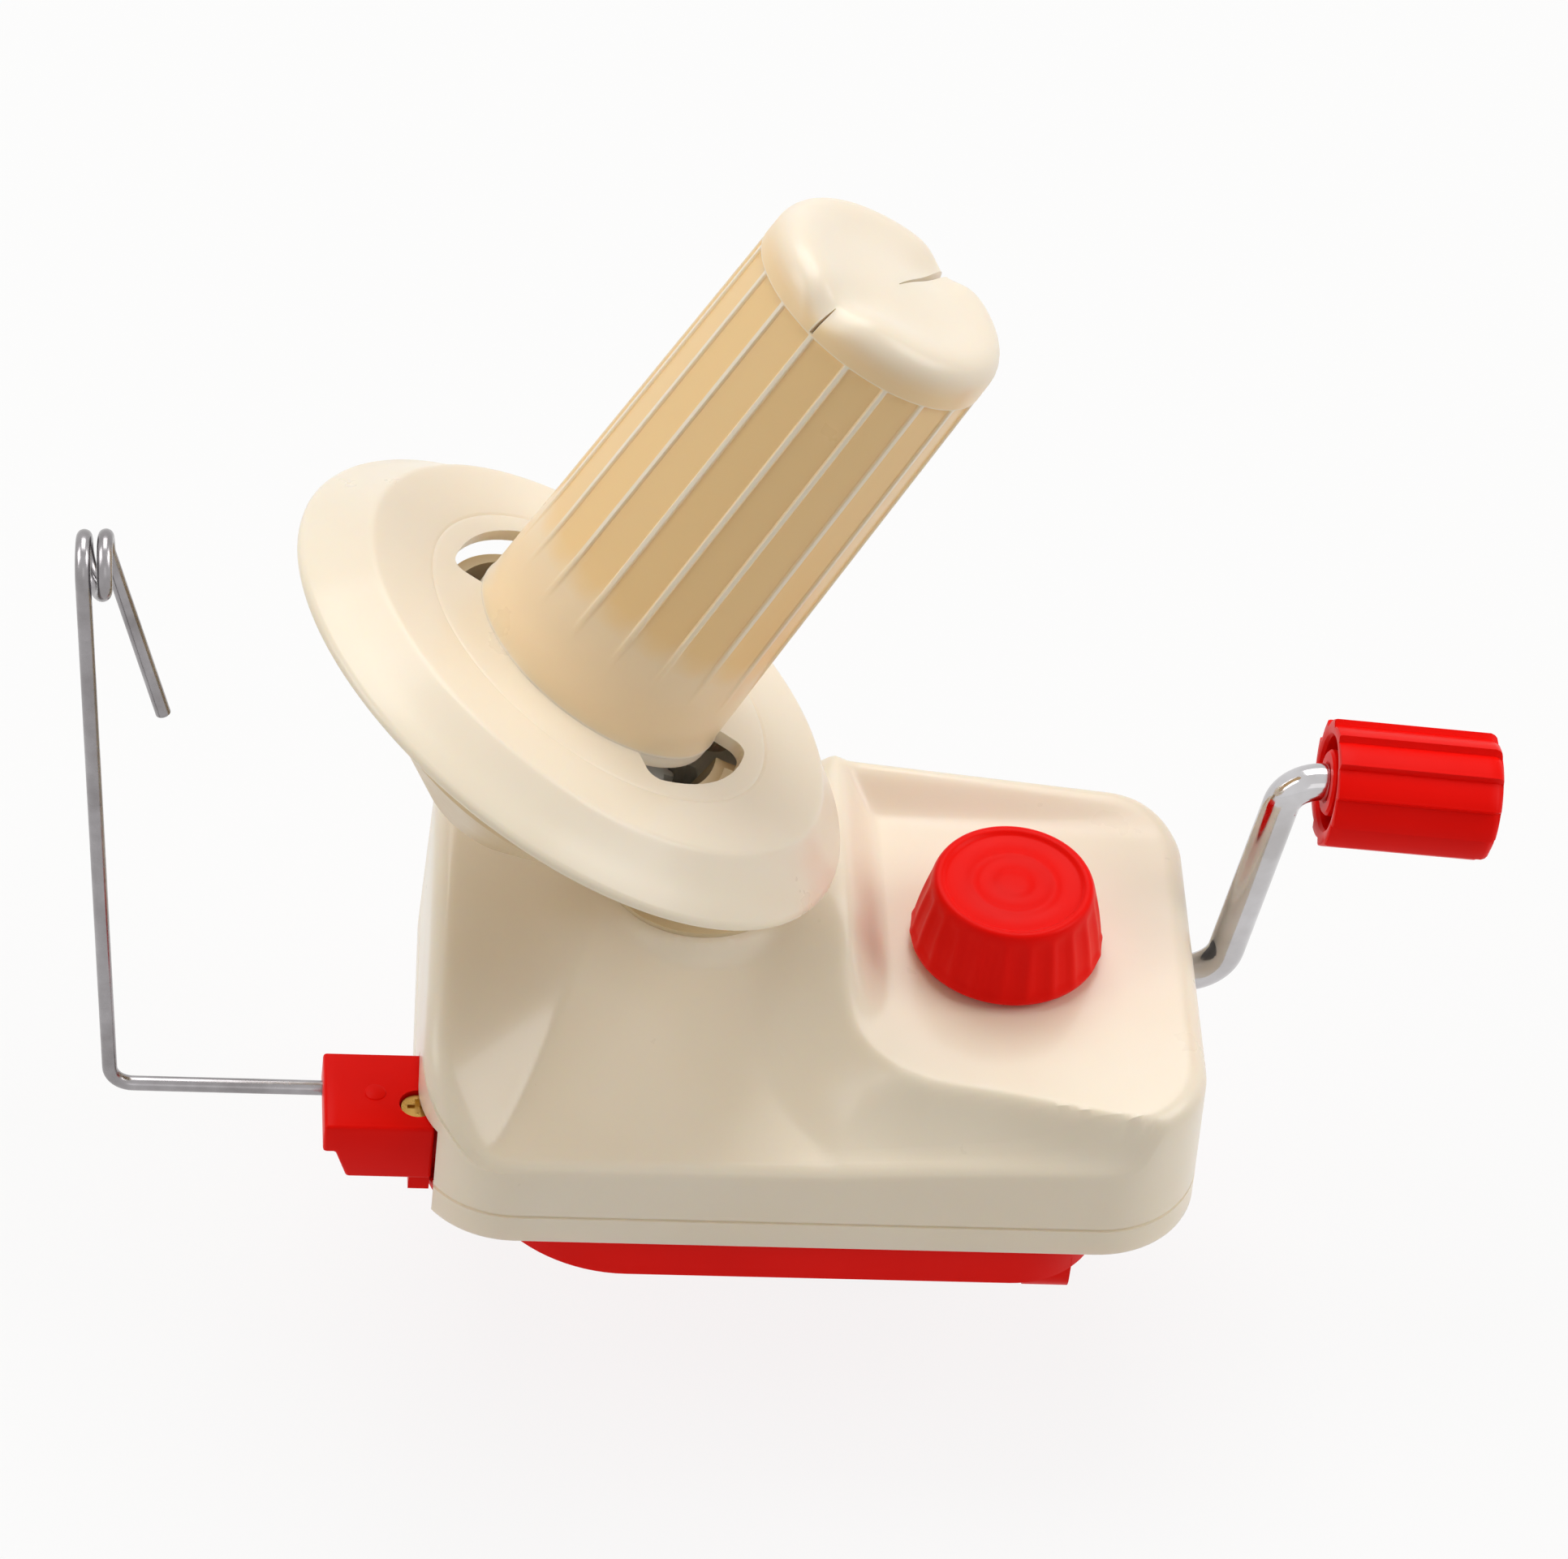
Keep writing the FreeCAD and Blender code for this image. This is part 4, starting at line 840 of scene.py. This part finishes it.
def makeShell():
    s = shellSettings
    shell = drawOutline()
    divideTop(shell)
    editBy(shell, roundedTop)
    lowerWalls(shell)
    leanWalls(shell)
    cutNotch(shell)
    bpy.ops.mesh.select_all(action="SELECT")
    bpy.ops.mesh.normals_make_consistent(inside=False)
    bpy.ops.object.mode_set(mode="OBJECT")
    topFace = max(shell.data.polygons, key=lambda face: face.center.z)
    if topFace.normal.z < 0.0:
        shell.data.flip_normals()
    thickness = shell.modifiers.new("thickness", "SOLIDIFY")
    thickness.thickness = s["wall"] * mm
    thickness.offset = -1.0
    applyModifier(shell, thickness)
    holes = [
        addRod("neckHole", 15.45, (0.0, 0.0, 40.0), 12.0, sides=96),
        addRod("crankHole", 6.0, (84.0, 0.0, 23.5), 20.0, turn=(0.0, 90.0, 0.0)),
        addRod("screwHole", 4.3, (*s["knob"], 32.0), 20.0, sides=48),
    ]
    cutAway(shell, joinPieces(holes))
    finishPiece(shell, "housing", "creamPlastic", ["upper_shell"], smooth=40.0)


# spindle and disc stand upright at the disc's centre, then tilt

tiltSettings = {"tilt": 30.7, "heading": 13.8, "offset": 24.0, "height": 106.4}


def tiltedPlace():
    heading = math.radians(tiltSettings["heading"])
    centre = Vector((-math.cos(heading), -math.sin(heading), 0.0)) * tiltSettings["offset"] * mm
    centre.z = tiltSettings["height"] * mm
    turned = Matrix.Rotation(heading, 4, "Z") @ Matrix.Rotation(math.radians(tiltSettings["tilt"]), 4, "Y")
    return Matrix.Translation(centre) @ turned


spindleSettings = {
    "base": 25.6, "top": 23.8, "height": 96.0,
    # bore and foot, levels of the wall, shoulder, and the dish of the top
    "bore": [(0.005, 26.5), (4.95, 26.5), (4.95, -21.07), (5.4, -21.07), (8.0, -20.6), (8.0, -2.5),
             (21.9, -2.5), (21.9, 0.02), (25.9, 0.02), (25.75, 0.5)],
    "levels": [1.4, 3.0, 6.0, 9.0, 11.0, 13.0, 15.0, 17.5, 20.0, 23.0, 26.0, 34.0, 44.0, 54.0, 64.0, 74.0,
               81.0, 85.0, 86.75, 87.0, 87.2, 87.45, 88.2, 89.4, 91.0],
    "round": 5.0, "roundAngles": (12, 24, 36, 48, 58, 68, 78, 90),
    "dish": [(17.6, 95.97), (16.4, 95.8), (15.2, 95.58), (14.0, 95.35), (12.6, 95.15), (11.0, 94.98),
             (9.4, 94.88), (7.8, 94.82), (6.2, 94.8), (4.6, 94.8), (3.0, 94.8), (1.4, 94.8), (0.005, 94.8)],
    # flutes: columns share out one flute, the first and last of them lie on the land
    "flutes": 18, "firstLand": 16.0, "depth": 0.75, "outside": 20.0,
    "columns": [0.0, 0.042, 0.062, 0.082, 0.13, 0.24, 0.37, 0.5, 0.63, 0.76, 0.87, 0.918, 0.938, 0.958],
    "landEdge": (0.042, 0.085), "flatShare": 0.62, "bowShare": 0.38,
    "fluteStart": (11.0, 26.0), "fluteEnd": (86.9, 87.15),
    # painted warm shade: in the panels' hollows, on the foot below them and on the brow above
    "panelSpan": (5.0, 87.2), "panelShadeGain": 1.3, "footSpan": (16.0, 34.0), "footShade": 0.5,
    "browSpan": (89.0, 94.5), "browShade": 0.75,
    # soft valley across the top, down its shoulders
    "slitHeading": 215.0, "valleyDepth": 2.3, "valleyWidth": 4.4, "valleyReach": (3.0, 20.0),
    "valleyRise": (88.0, 94.0), "valleyInside": 90.0,
    "shoulderDepth": 0.8, "shoulderReach": (19.0, 23.0), "shoulderRise": (88.0, 93.5),
    # cutters: low corner, high corner, the end that tapers
    "slit": ((-32.0, -1.1, 87.0), (-1.0, 1.1, 99.0), -1.0),
    "notch": ((21.0, -1.0, 87.5), (32.0, 1.0, 99.0), 21.0),
    "taper": 0.1,
}


def spindleRadius(height):
    s = spindleSettings
    return s["base"] - (s["base"] - s["top"]) * height / s["height"]


def spindleProfile():
    s = spindleSettings
    profile = s["bore"] + [(spindleRadius(height), height) for height in s["levels"]]
    shoulder = s["levels"][-1]
    centre = spindleRadius(shoulder) - s["round"]
    for angle in s["roundAngles"]:
        turn = math.radians(angle)
        profile.append((centre + s["round"] * math.cos(turn), shoulder + s["round"] * math.sin(turn)))
    return profile + s["dish"]


def columnPlace(x, y, columns, repeats):
    # which repeat an evenly spaced column belongs to, and its share of that repeat
    index = round(math.atan2(y, x) / (2.0 * math.pi) * repeats * len(columns))
    return index // len(columns), columns[index % len(columns)]


def flute(x, y, z):
    s = spindleSettings
    radius = math.hypot(x, y)
    if radius < 0.5:
        return x, y, z
    number, share = columnPlace(x, y, s["columns"], s["flutes"])
    angle = math.radians(s["firstLand"]) + (number + share) * (2.0 * math.pi / s["flutes"])
    flat = smoothStep(*s["landEdge"], min(share, 1.0 - share))
    hollow = s["flatShare"] * flat + s["bowShare"] * math.sin(math.pi * share)
    along = smoothStep(*s["fluteStart"], z) * (1.0 - smoothStep(*s["fluteEnd"], z))
    if radius > s["outside"]:
        radius -= s["depth"] * hollow * along
    return radius * math.cos(angle), radius * math.sin(angle), z


# painted shade: how much warm shade colour a corner gets, more the deeper it lies in a flute, and on the foot and
# the brow
def paintedShadeShare(x, y, z):
    s = spindleSettings
    radius = math.hypot(x, y)
    if radius <= s["outside"]:
        return 0.0
    low, high = s["panelSpan"]
    deep = s["panelShadeGain"] * (spindleRadius(z) - radius) / s["depth"] if low < z < high else 0.0
    foot = s["footShade"] * (1.0 - smoothStep(*s["footSpan"], z)) if z > 0.3 else 0.0
    brow = s["browShade"] * (1.0 - smoothStep(*s["browSpan"], z)) if z > high else 0.0
    return min(1.0, max(0.0, deep, foot, brow))


def valley(x, y, z):
    s = spindleSettings
    radius = math.hypot(x, y)
    if z < s["valleyRise"][0] or (radius < s["shoulderReach"][0] and z < s["valleyInside"]):
        return x, y, z
    heading = math.radians(s["slitHeading"])
    beside = x * math.sin(heading) - y * math.cos(heading)
    near = math.exp(-(beside / s["valleyWidth"]) ** 2)
    fall = s["valleyDepth"] * near * smoothStep(*s["valleyReach"], radius) * smoothStep(*s["valleyRise"], z)
    pinch = s["shoulderDepth"] * near * smoothStep(*s["shoulderReach"], radius)
    inward = 1.0 - pinch * smoothStep(*s["shoulderRise"], z) / max(1.0, radius)
    return x * inward, y * inward, z - fall


def taperedCutter(name, low, high, end):
    cutter = addBlock(name, low, high)
    bpy.ops.object.mode_set(mode="EDIT")
    pick(cutter, "FACE", lambda place: abs(place.x - end * mm) < 0.1 * mm)
    bpy.ops.transform.resize(value=(1.0, spindleSettings["taper"], 1.0), center_override=(0.0, 0.0, 0.0))
    bpy.ops.object.mode_set(mode="OBJECT")
    setInPlace(cutter, Matrix.Rotation(math.radians(spindleSettings["slitHeading"]), 4, "Z"))
    return cutter


def makeSpindle():
    s = spindleSettings
    spindle = turnPiece("windingSpindle", spindleProfile(), s["flutes"] * len(s["columns"]))
    shapeBy(spindle, flute)
    # painted shade layer, read by the spindle's finish
    tint = spindle.data.attributes.new("paintedShade", "FLOAT", "POINT")
    for corner, value in zip(spindle.data.vertices, tint.data):
        value.value = paintedShadeShare(*(corner.co / mm))
    shapeBy(spindle, valley)
    # slit in its back half, short notch on the other side
    for name in ("slit", "notch"):
        cutAway(spindle, taperedCutter(name, *s[name]))
    setInPlace(spindle, tiltedPlace())
    finishPiece(spindle, "spindle", "spindlePaintedShadePlastic", ["winding_spindle"], smooth=42.0)


discSettings = {
    "bore": 21.95, "crease": 49.4, "rim": 59.3, "drop": 8.8, "thickness": 2.5, "groove": 36.4,
    "segments": 200,
    "slotInner": 25.75, "slotOuter": 32.2, "slotHalf": 32.0, "slotHeading": 303.0,
    "slotEnd": 3.3, "slotLow": -6.0, "slotHigh": 3.0, "slotSteps": 12, "slotRound": 2.6,
}


def discProfile():
    # along the top from the bore to the rim, back along the underside
    s = discSettings
    bore, groove, crease, rim = s["bore"], s["groove"], s["crease"], s["rim"]
    edge, under = -s["drop"], -s["thickness"]
    return [
        (bore, under), (bore, 0.0), (25.0, 0.0), (30.0, 0.0), (33.0, 0.0),
        (groove - 0.7, 0.0), (groove - 0.35, -0.06), (groove, -0.24), (groove + 0.35, -0.06), (groove + 0.7, 0.0),
        (40.0, 0.0), (44.0, 0.0), (crease - 1.2, 0.0), (crease - 0.6, -0.04), (crease - 0.2, -0.14),
        (crease + 0.2, -0.34), (crease + 0.6, -0.68), (crease + 1.0, -1.08),
        (crease + 4.0, -3.95), (crease + 6.5, -6.2), (rim - 0.75, edge + 0.75), (rim - 0.25, edge + 0.15),
        (rim, edge - 0.5), (rim - 0.15, edge - 1.1), (rim - 0.7, edge - 1.45), (rim - 1.3, edge - 1.3),
        (rim - 1.9, edge - 0.7), (crease + 2.0, -5.0), (crease - 0.6, under - 0.6),
        (crease - 2.4, under), (40.0, under), (32.0, under), (bore, under),
    ]


def makeSlotCutter(heading):
    # a block whose side is extruded round the axis, with its outer corners rounded
    s = discSettings
    end, steps = s["slotEnd"], s["slotSteps"]
    low, high = (s["slotInner"], -end, s["slotLow"]), (s["slotOuter"], 0.0, s["slotHigh"])
    cutter = addBlock("slotCutter", low, high)
    bpy.ops.object.mode_set(mode="EDIT")
    pick(cutter, "FACE", lambda place: place.y > -0.001 * mm)
    endAngle = math.degrees(end / s["slotOuter"])
    middle = 2.0 * s["slotHalf"] - 2.0 * endAngle
    for angle in [middle / steps] * steps + [endAngle]:
        bpy.ops.mesh.extrude_region_move(TRANSFORM_OT_translate={"value": (0.0, 0.0, 0.0)})
        form = bmesh.from_edit_mesh(cutter.data)
        turn = Matrix.Rotation(math.radians(angle), 3, "Z")
        for corner in form.verts:
            if corner.select:
                corner.co = turn @ corner.co
        bmesh.update_edit_mesh(cutter.data)
    last = math.radians(middle + endAngle - 0.5)
    height = (s["slotLow"] + s["slotHigh"]) / 2.0

    def isOuterCorner(place):
        outside = math.hypot(place.x, place.y) > (s["slotOuter"] - 0.1) * mm
        upright = abs(place.z - height * mm) < 0.1 * mm
        return outside and upright and (place.y < -0.9 * end * mm or math.atan2(place.y, place.x) > last)

    pick(cutter, "EDGE", isOuterCorner)
    bpy.ops.mesh.bevel(offset=s["slotRound"] * mm, segments=6, affect="EDGES")
    bpy.ops.object.mode_set(mode="OBJECT")
    closeMesh(cutter)
    setInPlace(cutter, Matrix.Rotation(math.radians(heading - middle / 2.0), 4, "Z"))
    return cutter


def makeDisc():
    s = discSettings
    disc = turnPiece("windingDisc", discProfile(), s["segments"])
    for turn in (0.0, 180.0):
        cutAway(disc, makeSlotCutter(s["slotHeading"] + turn))
    setInPlace(disc, tiltedPlace())
    finishPiece(disc, "spindle", "creamPlastic", ["winding_disc"], smooth=38.0)


# clamp knob on the plateau

knobSettings = {
    "place": (57.5, -12.0, 42.4), "bottom": 18.3, "top": 15.0, "height": 16.0, "bulge": 0.35,
    "shares": (0.18, 0.25, 0.35, 0.45, 0.55, 0.65, 0.75, 0.84, 0.9),
    "scallops": 22, "scallopColumns": 9, "scallopDepth": 0.45,
    "scallopStart": (0.8, 3.0), "scallopEnd": (3.2, 1.4),
    # rings on the top, given by radius and depth below it
    "rings": [(10.4, 0.78), (9.4, 0.78), (8.7, 0.66), (8.1, 0.5), (7.4, 0.5), (6.8, 0.66), (6.1, 0.8),
              (4.4, 0.8), (3.7, 0.7), (3.1, 0.5), (2.2, 0.42), (1.0, 0.4), (0.005, 0.4)],
}


def knobProfile():
    s = knobSettings
    bottom, top, height = s["bottom"], s["top"], s["height"]
    profile = [(0.005, 0.0), (8.0, 0.0), (14.0, 0.0), (bottom - 2.2, 0.0), (bottom - 1.2, 0.25),
               (bottom - 0.4, 0.95), (bottom - 0.06, 1.9)]
    for share in s["shares"]:
        bulge = s["bulge"] * math.sin(math.pi * share)
        profile.append((bottom + (top - bottom) * share + bulge, height * share))
    profile += [(top + 0.1, height - 0.75), (top - 0.15, height - 0.3), (top - 0.55, height - 0.06),
                (top - 1.0, height), (top - 1.5, height - 0.05), (top - 1.85, height - 0.28),
                (top - 2.1, height - 0.6), (top - 2.6, height - 0.75)]
    return profile + [(radius, height - depth) for radius, depth in s["rings"]]


def scallop(x, y, z):
    s = knobSettings
    height = s["height"]
    radius = math.hypot(x, y)
    if radius < s["top"] - 0.4 or not 1.0 < z < height - 0.8:
        return x, y, z
    angle = math.atan2(y, x)
    wave = 0.5 - 0.5 * math.cos(angle * s["scallops"])
    low, high = s["scallopEnd"]
    fade = smoothStep(*s["scallopStart"], z) * (1.0 - smoothStep(height - low, height - high, z))
    radius -= s["scallopDepth"] * (1.0 - (1.0 - wave) ** 2) * fade
    return radius * math.cos(angle), radius * math.sin(angle), z


def makeKnob():
    s = knobSettings
    knob = turnPiece("clampKnob", knobProfile(), s["scallops"] * s["scallopColumns"])
    shapeBy(knob, scallop)
    setInPlace(knob, placeAt(s["place"]))
    finishPiece(knob, "knob", "redPlastic", ["clamp_knob"], smooth=50.0)


# ribbed grip that spins on the crank's stub

gripSettings = {
    "start": 6.8, "length": 31.5, "radius": 12.3, "core": 6.2, "open": 22.0,
    "corner": (108.5, 0.0, 75.2), "droop": 4.9,
    # each rib climbs steeply, then falls away over the rest of its share
    "ribs": 12, "rib": 1.2, "ribClimb": 0.12, "ribFade": (2.0, 0.6),
    "columns": [0.0, 0.045, 0.085, 0.12, 0.2, 0.4, 0.65, 0.85, 0.965],
}


def gripProfile():
    s = gripSettings
    start, end, radius = s["start"], s["start"] + s["length"], s["radius"]
    return [
        (3.6, end - 5.7), (3.6, start + 0.4), (4.0, start), (s["core"] - 0.5, start), (s["core"], start + 0.5),
        (s["core"], start + s["open"]), (8.9, start + s["open"]), (8.9, start + 0.9), (9.3, start + 0.25),
        (9.9, start), (radius - 0.5, start), (radius - 0.12, start + 0.15), (radius, start + 0.6),
        (radius, start + 3.0), (radius, start + 10.0), (radius, start + 20.0), (radius, end - 3.0),
        (radius, end - 1.5), (radius - 0.3, end - 0.75), (radius - 0.8, end - 0.25), (radius - 1.5, end),
        (9.0, end), (7.0, end), (6.5, end - 0.15), (6.05, end - 0.5), (6.05, end - 5.6), (3.6, end - 5.7),
    ]


def rib(x, y, z):
    s = gripSettings
    size = math.hypot(x, y)
    number, share = columnPlace(x, y, s["columns"], s["ribs"])
    angle = (number + share) * (2.0 * math.pi / s["ribs"])
    low, high = (s["radius"] - inside for inside in s["ribFade"])
    if size > low:
        climb = s["ribClimb"]
        ramp = 1.0 - (share - climb) / (1.0 - climb) if share > climb else share / climb
        size -= s["rib"] * ramp * smoothStep(low, high, size)
    return size * math.cos(angle), size * math.sin(angle), z


def makeGrip():
    s = gripSettings
    grip = turnPiece("crankGrip", gripProfile(), s["ribs"] * len(s["columns"]))
    shapeBy(grip, rib)
    turned = Matrix.Rotation(math.radians(90.0 + s["droop"]), 4, "Y")
    setInPlace(grip, placeAt(s["corner"]) @ turned)
    finishPiece(grip, "grip", "redPlastic", ["crank_grip"], smooth=30.0)


# bracket of the yarn guide at the left front corner

bracketSettings = {
    "left": -70.0, "right": -49.6, "front": -51.7, "back": -32.3, "top": 28.7, "low": 15.5,
    "step": 6.4, "slant": 2.3, "edgeRound": 0.7,
    "screw": (-52.7, -45.1), "recessRadius": 3.4, "recessDepth": 2.6, "shankRadius": 1.6,
    "wire": (-37.0, 23.9), "wireRadius": 1.46, "wireDepth": 19.0,
    "button": (-60.5, -42.5), "buttonRadius": 2.0, "buttonRise": 0.22, "buttonRound": 0.2,
    "tongueRound": 0.4,
}


def makeBracket():
    s = bracketSettings
    left, right, front, back = s["left"], s["right"], s["front"], s["back"]
    top, low, step, slant = s["top"], s["low"], s["step"], s["slant"]
    bracket = addBlock("guideBracket", (left, front, low + step), (right, back, top))
    bpy.ops.object.mode_set(mode="EDIT")
    bpy.ops.mesh.select_all(action="SELECT")
    cutAcross(0, left + slant)
    pick(bracket, "FACE", lambda place: place.z < (low + step + 0.1) * mm
         and place.x > (left + slant + 0.1) * mm)
    bpy.ops.mesh.extrude_region_move(TRANSFORM_OT_translate={"value": (0.0, 0.0, -step * mm)})
    pick(bracket, "VERT", lambda place: place.z < (low + 0.1) * mm and place.x < (left + slant + 0.7) * mm)
    bpy.ops.transform.translate(value=(slant * mm, 0.0, 0.0))
    bpy.ops.object.mode_set(mode="OBJECT")
    roundEdges(bracket, s["edgeRound"], 3)
    tongue = addBlock("tongue", (right - 3.0, front + 5.2, low + 0.02), (right + 8.4, back - 1.2, low + 8.0))
    roundEdges(tongue, s["tongueRound"], 2)
    cutAway(bracket, tongue, "UNION")
    x, y = s["screw"]
    recess = addRod("recess", s["recessRadius"], (x, y, top - s["recessDepth"]), 6.0, sides=48)
    shank = addRod("shankHole", s["shankRadius"], (x, y, low - 2.0), 20.0, sides=32)
    turn = (0.0, 90.0, 0.0)
    hole = addRod("wireHole", s["wireRadius"], (left - 1.0, *s["wire"]), s["wireDepth"], turn, sides=32)
    for cutter in (recess, shank, hole):
        cutAway(bracket, cutter)
    button = addRod("button", s["buttonRadius"], (*s["button"], top - 0.4), 0.4 + s["buttonRise"], sides=40)
    roundEdges(button, s["buttonRound"], 2)
    cutAway(bracket, button, "UNION")
    finishPiece(bracket, "housing", "redPlastic", ["guide_bracket"], smooth=32.0)


makeShell()
makeSpindle()
makeDisc()
makeKnob()
makeGrip()
makeBracket()
print("pieces modelled")


print("scene ready")
